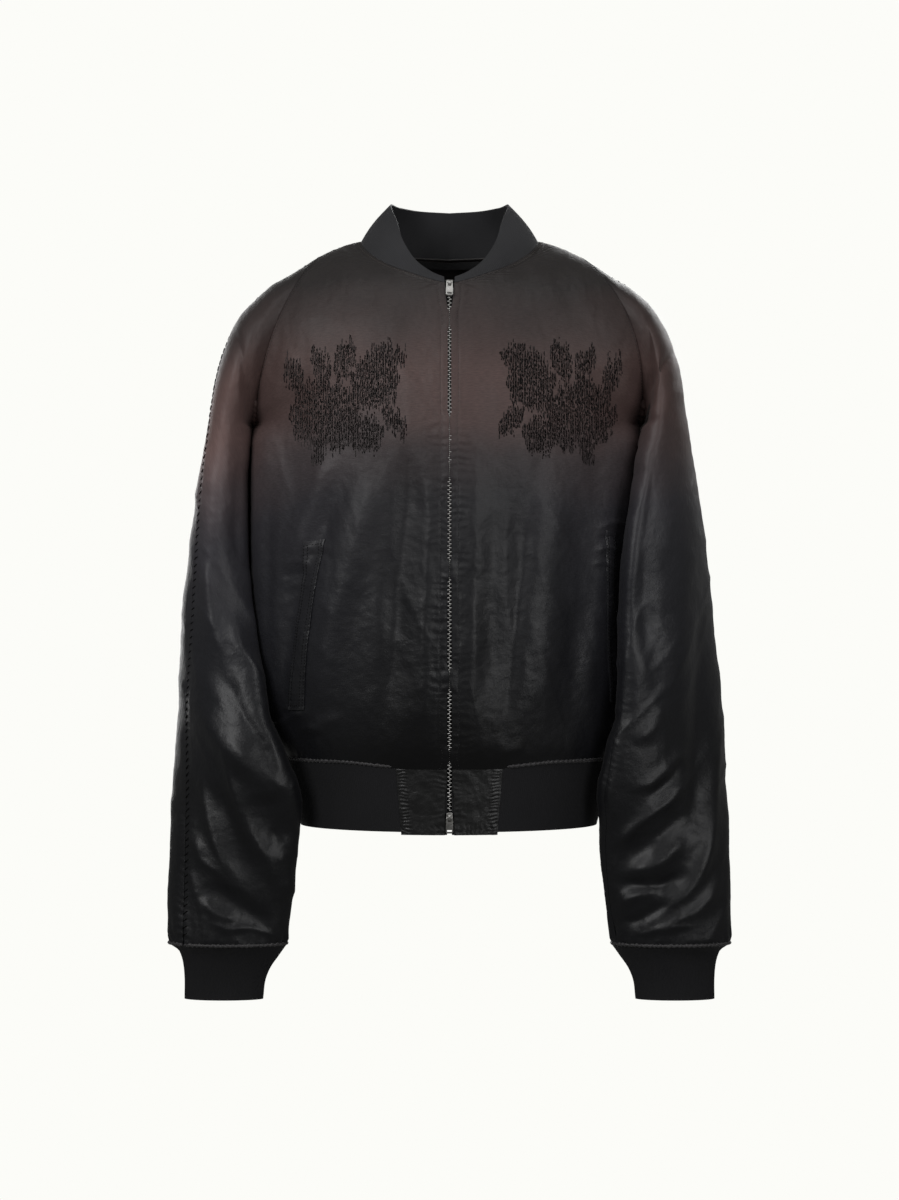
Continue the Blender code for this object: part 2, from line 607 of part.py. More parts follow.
def make_hem(fronts, backs):
    """Rib band round the back and a satin tab each side of the zip. Returns the left tab's grid."""
    rows = np.stack([hem_row(fronts, backs, share) for share in np.linspace(0, 1, HEM_ROWS + 1)])
    normals = grid_normals(rows, rows * np.array([1, 1, 0]))
    last = rows.shape[1] - 1
    rib = slice(TAB_COLUMNS, last - TAB_COLUMNS + 1)
    band = rows[:, rib].copy()
    for end, neighbour in ((0, 1), (-1, -2)):
        band[:, end] += unit(band[:, neighbour] - band[:, end]) * SEAM_GAP
    wall("hem_rib", [(band, normals[:, rib])], RIB_WALL, RIB)
    drop = TAB_DROP * np.linspace(0, 1, HEM_ROWS + 1)
    for side, columns, edge in (("left", slice(0, TAB_COLUMNS + 1), 0),
                                ("right", slice(last - TAB_COLUMNS, None), -1)):
        tab = rows[:, columns].copy()
        tab[:, :, 2] -= drop[:, None]
        tab[:, edge, 0] = [SIDES[side] * zip_gap(z) for z in tab[:, edge, 2]]
        wall(f"hem_tab_{side}", [(tab, normals[:, columns])], SATIN_WALL, SATIN)
        if side == "left":
            left_tab = (tab, normals[:, columns])
    return left_tab


def collar_edges():
    """The neck seam's and the top edge's points, from the left front round the back to the right."""
    front_rows = range(FRONT_NECK_ROW, PANEL_ROWS + 1)
    back_rows = range(PANEL_ROWS - 1, BACK_NECK_ROW - 1, -1)
    turns = [180 - 90 * (r - FRONT_NECK_ROW) / (PANEL_ROWS - FRONT_NECK_ROW) for r in front_rows]
    turns += [90 * (r - BACK_NECK_ROW) / (PANEL_ROWS - BACK_NECK_ROW) for r in back_rows]
    left = np.array([loop_point(NECK_SEAM, turn) for turn in turns])
    left_top = np.array([loop_point(COLLAR_TOP, turn) for turn in turns])
    mirror = np.array([-1, 1, 1])
    seam = np.concatenate([left, (left * mirror)[-2::-1]])
    top = np.concatenate([left_top, (left_top * mirror)[-2::-1]])
    return seam, top


def make_collar():
    """Stand-up rib collar, tapering to the zip."""
    seam, top = collar_edges()
    radial = unit((seam - np.array(NECK_CENTRE)) * np.array([1, 1, 0]))
    rows = []
    for share in np.linspace(0, 1, COLLAR_ROWS + 1):
        height = np.linalg.norm(top - seam, axis=1, keepdims=True)
        fullness = np.minimum(1, height / COLLAR_FULL_HEIGHT)
        bulge = radial * COLLAR_BULGE * math.sin(math.pi * share) * fullness
        rows.append(seam + np.array([0, 0, COLLAR_LIFT]) + (top - seam) * share + bulge)
    grid = np.stack(rows)
    normals = grid_normals(grid, radial[None] + np.array([0, 0, 0.3]))
    wall("collar", [(grid, normals)], RIB_WALL, RIB)


def make_neck_tape():
    """Tape that covers the neck seam inside the back."""
    turns = np.linspace(-NECK_TAPE_TURN, NECK_TAPE_TURN, NECK_TAPE_POINTS)
    line = np.array([loop_point(NECK_SEAM, abs(turn)) * [math.copysign(1, turn), 1, 1] for turn in turns])
    outward = unit((line - np.array(NECK_CENTRE)) * np.array([1, 1, 0]))
    upper = line - outward * NECK_TAPE_INSET - np.array([0, 0, RIB_WALL + SEAM_GAP])
    drop = math.sqrt(1 - NECK_TAPE_SPREAD**2)
    lower = upper + (outward * NECK_TAPE_SPREAD - np.array([0, 0, drop])) * NECK_TAPE_WIDTH
    tape = np.stack([lower, (lower + upper) / 2, upper])
    wall("back_neck_tape", [(tape, grid_normals(tape, outward[None]))], TAPE_WALL, TAPE)


def on_front(front, share, t):
    """Point and normal of a front's grid, between its points: share across and t up, each 0 to 1."""
    grid, normals = front
    row = np.clip(t * PANEL_ROWS, 0, PANEL_ROWS - 1e-9)
    column = np.clip(share * PANEL_COLUMNS, 0, PANEL_COLUMNS - 1e-9)
    r, c = int(row), int(column)
    up, across = row - r, column - c
    mixed = []
    for source in (grid, normals):
        low = source[r, c] * (1 - across) + source[r, c + 1] * across
        high = source[r + 1, c] * (1 - across) + source[r + 1, c + 1] * across
        mixed.append(low * (1 - up) + high * up)
    return mixed[0], unit(mixed[1])


def make_welts(fronts):
    for side, place in WELTS.items():
        points = []
        normals = []
        for share in np.linspace(0, 1, WELT_STEPS + 1):
            t = place["heights"][1] * (1 - share) + place["heights"][0] * share
            left = place["bottom"][0] * (1 - share) + place["top"][0] * share
            right = place["bottom"][1] * (1 - share) + place["top"][1] * share
            picked = [on_front(fronts[side], across, t) for across in np.linspace(left, right, 4)]
            points.append([point + normal * (WELT_LIFT + WELT_WALL) for point, normal in picked])
            normals.append([normal for _, normal in picked])
        wall(f"pocket_welt_{side}", [(np.array(points), np.array(normals))], WELT_WALL, SATIN)


def front_edge(front, tab):
    """Points and normals of the left front's and tab's first two columns, from the neck down."""
    front_points, front_normals = front
    tab_points, tab_normals = tab
    points = np.concatenate([front_points[FRONT_NECK_ROW::-1, :2], tab_points[1:, :2]])
    normals = np.concatenate([front_normals[FRONT_NECK_ROW::-1, :2], tab_normals[1:, :2]])
    return points, normals


def make_zip(front, tab):
    """Zip tapes and the closed chain. Returns points and normals down the zip's middle."""
    points, normals = front_edge(front, tab)
    edge, inside = points[:, 0], points[:, 1]
    middle = edge * np.array([0, 1, 1])
    facing = unit(normals[:, 0] * np.array([0, 1, 1]))
    for side, sign in SIDES.items():
        columns = []
        for x in (TAPE_INNER_X, TAPE_OUTER_X):
            share = np.clip((x - edge[:, 0]) / (inside[:, 0] - edge[:, 0]), 0, 1)[:, None]
            column = edge + (inside - edge) * share
            column[:, 0] = x
            columns.append((column - facing * (TAPE_DEPTH + SEAM_GAP / 2)) * np.array([sign, 1, 1]))
        grid = np.stack(columns, axis=1)
        grid[0] += (grid[1] - grid[0]) * TAPE_TOP_CUT
        wall(f"zip_tape_{side}", [(grid, np.stack([facing, facing], axis=1))], TAPE_WALL, TAPE)
    heights = middle[:, 2]
    kept = np.where((heights < CHAIN_TOP - CHAIN_END_STEP) & (heights > CHAIN_BOTTOM + CHAIN_END_STEP))[0]
    ends = [np.array([0, np.interp(z, heights[::-1], middle[::-1, 1]), z]) for z in (CHAIN_TOP, CHAIN_BOTTOM)]
    line = np.concatenate([[ends[0]], middle[kept], [ends[1]]])
    ways = np.concatenate([[facing[kept[0]]], facing[kept], [facing[kept[-1]]]])
    line = line - ways * TAPE_DEPTH
    half = np.array([CHAIN_HALF_WIDTH, 0, 0])
    grid = np.stack([line - half, line + half], axis=1)
    wall("zip_chain", [(grid, np.stack([ways, ways], axis=1))], CHAIN_THICKNESS, DARK_METAL)
    return middle, facing


def box(shape, low, high):
    """A closed box in the shape, from its lowest to its highest corner."""
    size = Vector(high) - Vector(low)
    middle = (Vector(high) + Vector(low)) / 2
    matrix = Matrix.Translation(middle) @ Matrix.Diagonal((*size, 1))
    bmesh.ops.create_cube(shape, size=1, matrix=matrix)


def flat_plate(outline, front_y, back_y):
    """A closed plate from an outline of (x, z) points."""
    shape = bmesh.new()
    near = [shape.verts.new((x, front_y, z)) for x, z in outline]
    far = [shape.verts.new((x, back_y, z)) for x, z in outline]
    close_sides(shape, near, far)
    return shape


def close_sides(shape, near, far):
    """Faces over both ends and round the sides of two matching outlines."""
    shape.faces.new(near)
    shape.faces.new(far[::-1])
    for i in range(len(near)):
        j = (i + 1) % len(near)
        shape.faces.new((near[j], near[i], far[i], far[j]))
    bmesh.ops.recalc_face_normals(shape, faces=shape.faces)


def prism(shape, outline, low, high):
    """A closed prism along x from an outline of (y, z) points."""
    near = [shape.verts.new((low, y, z)) for y, z in outline]
    far = [shape.verts.new((high, y, z)) for y, z in outline]
    close_sides(shape, near, far)


def solid_object(name, shape, kind, steps):
    """An object of this shape, united with or cut by the shapes in steps."""
    mesh = bpy.data.meshes.new(name)
    shape.to_mesh(mesh)
    shape.free()
    made = link_object(name, mesh, kind)
    for number, (operation, other) in enumerate(steps):
        helper_mesh = bpy.data.meshes.new(f"{name}_helper_{number}")
        other.to_mesh(helper_mesh)
        other.free()
        helper = bpy.data.objects.new(f"{name}_helper_{number}", helper_mesh)
        bpy.context.scene.collection.objects.link(helper)
        helper.hide_render = True
        helper.display_type = "WIRE"
        helper.parent = made
        step = made.modifiers.new(f"{operation.lower()} {number}", "BOOLEAN")
        step.operation = operation
        step.object = helper
    return made


def crown_outline():
    """Outline of the bridge that holds the pull, as (y, z) points: out over the plate and back."""
    sunk = PLATE_THICKNESS / 2
    foot = CROWN_HALF_SPAN + CROWN_WALL
    top = -(CROWN_INSIDE + CROWN_WALL)
    outside = [(sunk, -foot), (top * 0.45, -foot), (top, -CROWN_HALF_SPAN * 0.6)]
    inside = [(sunk, -CROWN_HALF_SPAN), (-CROWN_INSIDE * 0.55, -CROWN_HALF_SPAN),
              (-CROWN_INSIDE, -CROWN_HALF_SPAN * 0.5)]
    outside += [(y, -z) for y, z in outside[::-1]]
    inside += [(y, -z) for y, z in inside[::-1]]
    return outside + inside[::-1]


def make_slider(name, frame, post_up):
    """Slider: two plates joined by a post, with a bridge over the front plate for the pull."""
    half = SLIDER_LENGTH / 2
    nose = SLIDER_NOSE_WIDTH / 2
    wide = SLIDER_WIDTH / 2
    mouth_z = half * post_up
    outline = [(-wide, mouth_z), (wide, mouth_z), (nose, -mouth_z), (-nose, -mouth_z)]
    plate = flat_plate(outline, 0, PLATE_THICKNESS)
    back_y = PLATE_PROUD + BACK_PLATE_DEPTH
    rear = bmesh.new()
    box(rear, (-nose, back_y, -half), (nose, back_y + PLATE_THICKNESS, half))
    post = bmesh.new()
    sunk = PLATE_THICKNESS / 2
    low, high = sorted(post_up * half * share for share in POST_SPAN)
    box(post, (-POST_WIDTH / 2, sunk, low), (POST_WIDTH / 2, back_y + sunk, high))
    crown = bmesh.new()
    prism(crown, crown_outline(), -CROWN_WIDTH / 2, CROWN_WIDTH / 2)
    made = solid_object(name, plate, BRIGHT_METAL, [("UNION", post), ("UNION", rear), ("UNION", crown)])
    made.matrix_world = frame @ Matrix.Translation((0, -PLATE_PROUD, 0))


def make_pull(name, frame):
    """Flat pull tab with a slot for the bridge and a small hole at its end; its origin is its axis."""
    half = PULL_WIDTH / 2
    neck = PULL_NECK_WIDTH / 2
    corner = half - PULL_CORNER
    right = [(neck, 0), (neck, -PULL_NECK_LENGTH), (half, -PULL_NECK_LENGTH - PULL_CORNER),
             (half, PULL_CORNER - PULL_LENGTH), (corner, -PULL_LENGTH)]
    outline = right + [(-x, z) for x, z in right[::-1]]
    plate = flat_plate(outline, -PULL_THICKNESS / 2, PULL_THICKNESS / 2)
    through = 2 * PULL_THICKNESS
    slot = bmesh.new()
    box(slot, (-PULL_SLOT_WIDTH / 2, -through, -PULL_SLOT_END), (PULL_SLOT_WIDTH / 2, through, through))
    hole = bmesh.new()
    low = -PULL_HOLE_DROP - PULL_HOLE_HEIGHT / 2
    high = low + PULL_HOLE_HEIGHT
    box(hole, (-PULL_HOLE_WIDTH / 2, -through, low), (PULL_HOLE_WIDTH / 2, through, high))
    bar = bmesh.new()
    turns = np.linspace(0, 2 * math.pi, 13)[:-1]
    prism(bar, [(PULL_BAR_RADIUS * math.cos(a), PULL_BAR_RADIUS * math.sin(a)) for a in turns], -neck, neck)
    steps = [("DIFFERENCE", slot), ("DIFFERENCE", hole), ("UNION", bar)]
    made = solid_object(name, plate, BRIGHT_METAL, steps)
    made.matrix_world = frame @ Matrix.Translation((0, -PLATE_PROUD - PULL_AXIS_OUT, 0))


def make_sliders(middle, facing):
    """Both sliders and pulls, each laid along the fronts at its height."""
    heights = middle[::-1, 2]
    for name, height in SLIDER_HEIGHTS.items():
        place = Vector((0, float(np.interp(height, heights, middle[::-1, 1])), height))
        way = Vector([float(np.interp(height, heights, facing[::-1, axis])) for axis in range(3)])
        way.normalize()
        up = Vector((0, way.z, -way.y))
        frame = Matrix((
            (1, 0, 0, 0),
            (0, -way.y, up.y, place.y),
            (0, -way.z, up.z, place.z),
            (0, 0, 0, 1),
        ))
        make_slider(f"slider_{name}", frame, 1 if name == "top" else -1)
        make_pull(f"pull_{name}", frame)


def main():
    clear_scene()
    fronts, backs = make_panels()
    make_cuffs(make_sleeves())
    left_tab = make_hem(fronts, backs)
    make_collar()
    make_neck_tape()
    make_welts(fronts)
    make_sliders(*make_zip(fronts["left"], left_tab))


if __name__ == "__main__":
    main()
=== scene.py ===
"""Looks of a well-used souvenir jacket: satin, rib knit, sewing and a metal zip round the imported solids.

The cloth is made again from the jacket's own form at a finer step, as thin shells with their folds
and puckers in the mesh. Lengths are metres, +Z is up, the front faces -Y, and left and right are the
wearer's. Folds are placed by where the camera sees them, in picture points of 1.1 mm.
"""

from __future__ import annotations

import logging
import math
from dataclasses import dataclass, field
from enum import Enum
from typing import Callable, Iterable, Sequence

import bpy
import numpy as np
from bpy.types import Material, NodeSocket, NodeTree, Object
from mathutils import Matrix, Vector
from mathutils.bvhtree import BVHTree

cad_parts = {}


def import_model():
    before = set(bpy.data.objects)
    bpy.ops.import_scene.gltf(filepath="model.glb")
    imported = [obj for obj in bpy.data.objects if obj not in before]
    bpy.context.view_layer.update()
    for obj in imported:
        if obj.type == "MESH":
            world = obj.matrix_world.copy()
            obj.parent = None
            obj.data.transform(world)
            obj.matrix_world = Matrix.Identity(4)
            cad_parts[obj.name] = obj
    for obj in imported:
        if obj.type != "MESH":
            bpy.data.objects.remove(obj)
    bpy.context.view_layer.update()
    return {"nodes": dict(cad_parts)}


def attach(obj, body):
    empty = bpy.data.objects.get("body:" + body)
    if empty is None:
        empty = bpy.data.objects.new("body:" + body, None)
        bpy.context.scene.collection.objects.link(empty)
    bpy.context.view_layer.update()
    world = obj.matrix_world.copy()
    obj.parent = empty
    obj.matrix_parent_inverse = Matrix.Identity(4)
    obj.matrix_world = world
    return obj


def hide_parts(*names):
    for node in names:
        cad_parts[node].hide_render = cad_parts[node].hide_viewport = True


LOG = logging.getLogger("jacket")
Array = np.ndarray

CAMERA_AWAY = 3.2
CAMERA_HEIGHT = -0.394
POINT = 0.0011
PICTURE_MIDDLE = (450.0, 600.0)
FRAME_POINTS = 1200

SATIN_WALL = 0.0015
RIB_WALL = 0.0022
TAPE_WALL = 0.0010
SEAM_GAP = 0.0003
MM = 0.001
LEVEL = np.array([1, 1, 0])
NECK_MIDDLE = np.array([0, -0.01, 0])


class Side(Enum):
    """The wearer's side, with the sign of its x."""

    RIGHT = -1
    LEFT = 1

    @property
    def word(self) -> str:
        """The side's name as the nodes spell it."""
        return self.name.lower()

    @property
    def mirror(self) -> Array:
        """What brings a form that is given as if on the left to this side."""
        return np.array([self.value, 1, 1])


class Face(Enum):
    """Which way a panel faces, with the sign of its y."""

    FRONT = -1
    BACK = 1


class Cloth(Enum):
    """The panel that a fold belongs to."""

    BODY = "body"
    SLEEVE = "sleeve"


# ---------------------------------------------------------------- curves and noise


def smooth(keys: Sequence[float], values: Sequence[float], at: Array | float) -> Array:
    """Reads a smooth curve through a table.

    Args:
        keys: The table's keys, rising or falling.
        values: The value at each key.
        at: Where to read it.

    Returns:
        The values there.
    """
    keys, values = np.asarray(keys, float), np.asarray(values, float)
    if keys[0] > keys[-1]:
        keys, values = keys[::-1], values[::-1]
    slopes = np.gradient(values, keys)
    at = np.clip(at, keys[0], keys[-1])
    place = np.clip(np.searchsorted(keys, at, side="right") - 1, 0, len(keys) - 2)
    span = keys[place + 1] - keys[place]
    share = (at - keys[place]) / span
    rise = 3 * share**2 - 2 * share**3
    bend = share * (1 - share) ** 2 * span * slopes[place]
    bend = bend + share**2 * (share - 1) * span * slopes[place + 1]
    return values[place] * (1 - rise) + values[place + 1] * rise + bend


def soft_step(low: float, high: float, value: Array | float) -> Array:
    """Rises softly from 0 at low to 1 at high."""
    share = np.clip((value - low) / (high - low), 0, 1)
    return share * share * (3 - 2 * share)


def unit(vector: Array) -> Array:
    """The vectors at a length of one."""
    return vector / np.maximum(np.linalg.norm(vector, axis=-1, keepdims=True), 1e-12)


def within(share: Array, first: float, last: float) -> Array:
    """Rises from 0 over the first part of a share and falls to 0 over the last."""
    return soft_step(0, first, share) * soft_step(0, last, 1 - share)


def bell(off: Array, width: Array | float, power: int = 2) -> Array:
    """A hump of height 1 round 0."""
    return np.exp(-((off / width) ** power))


def lengths_along(points: Array) -> Array:
    """Each point's distance along a polyline from its start."""
    return np.r_[0, np.cumsum(np.linalg.norm(np.diff(points, axis=0), axis=1))]


def read_line(at: Array, keys: Array, points: Array) -> Array:
    """Points of a line, read straight between its keys."""
    return np.stack([np.interp(at, keys, points[:, i]) for i in range(3)], axis=1)


def at_shares(points: Array, shares: Array) -> Array:
    """Points of a polyline at these shares of its length."""
    steps = lengths_along(points)
    return read_line(shares * steps[-1], steps, points)


def grid_quads(index: Array) -> Array:
    """The four corners of each cell of a grid of point numbers."""
    return np.stack([index[:-1, :-1], index[:-1, 1:], index[1:, 1:], index[1:, :-1]], axis=-1).reshape(-1, 4)


def grid_normals(grid: Array, like: Array) -> Array:
    """Unit normals of a grid of points.

    Args:
        grid: Rows and columns of points.
        like: A way, or one for each point, on the side that the normals point to.

    Returns:
        The normals.
    """
    normals = unit(np.cross(np.gradient(grid, axis=1), np.gradient(grid, axis=0)))
    return normals * np.where((normals * like).sum(axis=-1, keepdims=True) < 0, -1, 1)


def in_picture(points: Array, face: Face = Face.FRONT) -> Array:
    """Where a camera in front of (or behind) the jacket sees points.

    Args:
        points: Points in metres.
        face: The side that is looked at.

    Returns:
        Picture points across and down, with x still to the wearer's left.
    """
    nearer = CAMERA_AWAY / (CAMERA_AWAY - points[..., 1] * face.value)
    across = PICTURE_MIDDLE[0] + points[..., 0] / POINT * nearer
    down = PICTURE_MIDDLE[1] - (points[..., 2] - CAMERA_HEIGHT) / POINT * nearer
    return np.stack([across, down], axis=-1)


@dataclass
class Noise:
    """Seeded gradient noise, the same each run."""

    seed: int
    size: int = 128

    def __post_init__(self) -> None:
        """Draws the lattice."""
        self.turns = np.random.default_rng(self.seed + 1000).random((self.size, self.size)) * 2 * math.pi

    def at(self, x: Array, y: Array) -> Array:
        """Noise from about -1 to 1.

        Args:
            x: First coordinate, a lattice step a unit.
            y: Second coordinate.

        Returns:
            The noise there.
        """
        x, y = np.broadcast_arrays(np.asarray(x, float), np.asarray(y, float))
        column, row = np.floor(x).astype(int), np.floor(y).astype(int)
        fx, fy = x - column, y - row

        def corner(i: int, j: int) -> Array:
            """The corner's gradient times the way from it."""
            turn = self.turns[(column + i) % self.size, (row + j) % self.size]
            return np.cos(turn) * (fx - i) + np.sin(turn) * (fy - j)

        ease_x = fx**3 * (fx * (fx * 6 - 15) + 10)
        ease_y = fy**3 * (fy * (fy * 6 - 15) + 10)
        low = corner(0, 0) * (1 - ease_x) + corner(1, 0) * ease_x
        high = corner(0, 1) * (1 - ease_x) + corner(1, 1) * ease_x
        return 1.5 * (low * (1 - ease_y) + high * ease_y)

    def layers(self, x: Array, y: Array, count: int = 3) -> Array:
        """A sum of ever finer and lower noise."""
        return sum(self.at(x * 2**i + 17 * i, y * 2**i - 9 * i) / 2**i for i in range(count))

    def pinched(self, x: Array, y: Array) -> Array:
        """Narrow ridges between broad hollows, as in crumpled cloth, from 0 to 1."""
        warp = 0.35 * self.at(x * 0.7 + 31, y * 0.7)
        return np.clip(1 - 2.2 * np.abs(self.at(x + warp, y - warp)), 0, 1) ** 2


# ---------------------------------------------------------------- folds

FOLD_REACH = 3.2
FOLD_ENDS = 0.28


@dataclass(frozen=True)
class Crease:
    """One fold: the line it follows, how far it rises and how wide it is on each side."""

    cloth: Cloth
    face: Face
    line: tuple[tuple[float, float], ...]
    rise: float
    wide: tuple[float, float]
    sharp: float = 0.0

    def drawn(self, steps: int = 6) -> Array:
        """The line as a smooth curve.

        Args:
            steps: Steps between two of its points.

        Returns:
            Its points in the picture.
        """
        line = np.array(self.line, float)
        line = np.concatenate([[2 * line[0] - line[1]], line, [2 * line[-1] - line[-2]]])
        share = (np.arange(steps) / steps)[:, None]
        parts = []
        for a, b, c, d in zip(line, line[1:], line[2:], line[3:]):
            bend = 2 * a - 5 * b + 4 * c - d
            parts.append(b + share * ((c - a) + share * (bend + share * (3 * b - a - 3 * c + d))) / 2)
        return np.concatenate([*parts, line[-2:-1]])

    def height(self, seen: Array) -> Array:
        """How far this fold moves points, in millimetres.

        Args:
            seen: The points' places in the picture.

        Returns:
            The rise of each, outwards.
        """
        rise = np.zeros(seen.shape[:-1])
        line = self.drawn()
        reach = FOLD_REACH * max(self.wide)
        near = np.all((seen > line.min(axis=0) - reach) & (seen < line.max(axis=0) + reach), axis=-1)
        if not near.any():
            return rise
        points = seen[near]
        best = np.full(len(points), 1e9)
        side = np.zeros(len(points))
        share = np.zeros(len(points))
        lengths = np.linalg.norm(np.diff(line, axis=0), axis=1)
        start = np.r_[0, np.cumsum(lengths)]
        for number, (a, b) in enumerate(zip(line, line[1:])):
            run = b - a
            along = np.clip(((points - a) @ run) / max(run @ run, 1e-9), 0, 1)
            off = points - a - along[:, None] * run
            distance = np.linalg.norm(off, axis=1)
            nearer = distance < best
            best = np.where(nearer, distance, best)
            side = np.where(nearer, run[0] * off[:, 1] - run[1] * off[:, 0], side)
            share = np.where(nearer, (start[number] + along * lengths[number]) / start[-1], share)
        wide = np.where(side < 0, self.wide[0], self.wide[1])
        pinched = np.exp(-1.25 * (np.sqrt(best**2 + 0.5) - 0.7) / wide)
        taper = within(share, FOLD_ENDS, FOLD_ENDS)
        rise[near] = self.rise * taper * (bell(best, wide) * (1 - self.sharp) + pinched * self.sharp)
        return rise


def creases(cloth: Cloth, face: Face, rows: Iterable[tuple]) -> tuple[Crease, ...]:
    """Folds of one panel from rows of line, rise, widths and sharpness."""
    return tuple(Crease(cloth, face, *row) for row in rows)


BODY_FRONT_CREASES = creases(Cloth.BODY, Face.FRONT, (
    (((334, 440), (318, 490), (300, 545), (291, 580)), 4.0, (10, 12), 0.1),
    (((352, 455), (330, 512), (304, 575), (286, 640), (276, 722)), -6.5, (13, 13), 0.1),
    (((378, 450), (352, 555), (328, 640), (317, 722), (312, 752)), 7.0, (16, 26), 0.1),
    (((414, 420), (406, 515), (396, 600), (390, 690), (384, 752)), -7.0, (16, 12), 0.15),
    (((434, 470), (428, 600), (424, 745)), 2.8, (14, 9), 0.0),
    (((270, 455), (265, 560), (266, 640), (273, 705)), -5.0, (9, 12), 0.0),
    (((345, 715), (322, 724), (306, 730)), 2.4, (8, 7), 0.2),
    (((300, 300), (330, 320), (372, 318), (410, 300)), 1.6, (14, 20), 0.0),
    (((292, 345), (280, 395), (268, 430)), 2.0, (12, 12), 0.0),
    (((535, 455), (524, 560), (515, 640), (509, 700), (498, 757)), -5.5, (8, 20), 0.25),
    (((562, 450), (551, 555), (546, 640), (540, 742)), 4.8, (17, 20), 0.05),
    (((580, 590), (572, 690), (567, 750)), -3.2, (12, 15), 0.0),
    (((604, 465), (600, 560), (592, 660), (590, 735)), 4.2, (13, 11), 0.0),
    (((632, 430), (626, 500), (620, 590), (614, 690)), -5.0, (10, 9), 0.1),
    (((478, 440), (474, 560), (470, 690), (468, 745)), 2.6, (12, 16), 0.0),
    (((497, 480), (494, 600), (488, 720)), -2.2, (10, 12), 0.0),
    (((498, 300), (540, 312), (585, 300), (612, 290)), 1.6, (18, 14), 0.0),
    (((618, 345), (628, 385), (634, 425)), 2.0, (12, 10), 0.0),
    (((528, 747), (512, 751), (500, 758)), 2.4, (6, 6), 0.4),
    (((281, 566), (296, 561), (315, 566)), 0.9, (3, 4), 0.3),
    (((277, 578), (298, 573), (311, 577)), -0.8, (4, 3), 0.2),
    (((286, 589), (298, 583), (314, 587)), 0.7, (3, 5), 0.3),
    (((279, 606), (294, 598), (308, 601)), 0.4, (4, 4), 0.3),
    (((304, 551), (320, 545), (334, 549)), 1.1, (3, 4), 0.4),
    (((305, 558), (322, 554), (336, 560)), -1.3, (3, 3), 0.2),
    (((284, 704), (294, 711), (308, 714)), 1.6, (2.6, 3), 0.4),
    (((273, 730), (288, 719), (310, 707)), 2.2, (3, 5), 0.4),
    (((300, 731), (314, 728), (328, 731)), 1.6, (4, 4), 0.2),
    (((596, 529), (612, 522), (628, 526)), 1.6, (2.6, 3), 0.4),
    (((594, 541), (608, 536), (624, 540)), -1.2, (3, 3), 0.2),
    (((592, 552), (606, 547), (620, 552)), 1.5, (2.6, 3), 0.4),
    (((588, 566), (600, 562), (612, 566)), 1.2, (2.6, 3), 0.4),
    (((438, 684), (438, 725), (438, 760)), -1.3, (1.4, 1.4), 0.6),
))
BODY_BACK_CREASES = creases(Cloth.BODY, Face.BACK, (
    (((300, 400), (322, 470), (345, 560), (356, 660), (360, 745)), 6.0, (20, 16), 0.1),
    (((272, 430), (290, 520), (300, 620), (306, 735)), -5.5, (14, 16), 0.1),
    (((350, 430), (378, 540), (392, 640), (400, 745)), -5.5, (16, 14), 0.1),
    (((640, 400), (612, 480), (590, 570), (580, 660), (578, 745)), 6.0, (16, 20), 0.1),
    (((628, 470), (616, 560), (612, 660), (610, 735)), -5.0, (13, 15), 0.1),
    (((585, 430), (556, 540), (545, 640), (540, 740)), -5.5, (15, 17), 0.1),
    (((450, 500), (446, 600), (452, 745)), 3.6, (18, 20), 0.0),
    (((500, 520), (498, 620), (494, 740)), -3.6, (13, 13), 0.05),
    (((412, 560), (418, 650), (420, 740)), 2.8, (10, 12), 0.0),
    (((318, 300), (380, 330), (450, 338), (520, 330), (582, 300)), -2.6, (16, 22), 0.0),
    (((330, 345), (400, 372), (450, 376), (505, 370), (575, 345)), 2.2, (16, 18), 0.0),
    (((262, 380), (300, 420), (350, 452)), -3.6, (9, 11), 0.2),
    (((640, 372), (600, 415), (552, 448)), -3.6, (11, 9), 0.2),
    (((268, 700), (310, 720), (352, 722)), 2.2, (8, 8), 0.2),
    (((632, 690), (600, 716), (560, 724)), 2.2, (8, 8), 0.2),
))
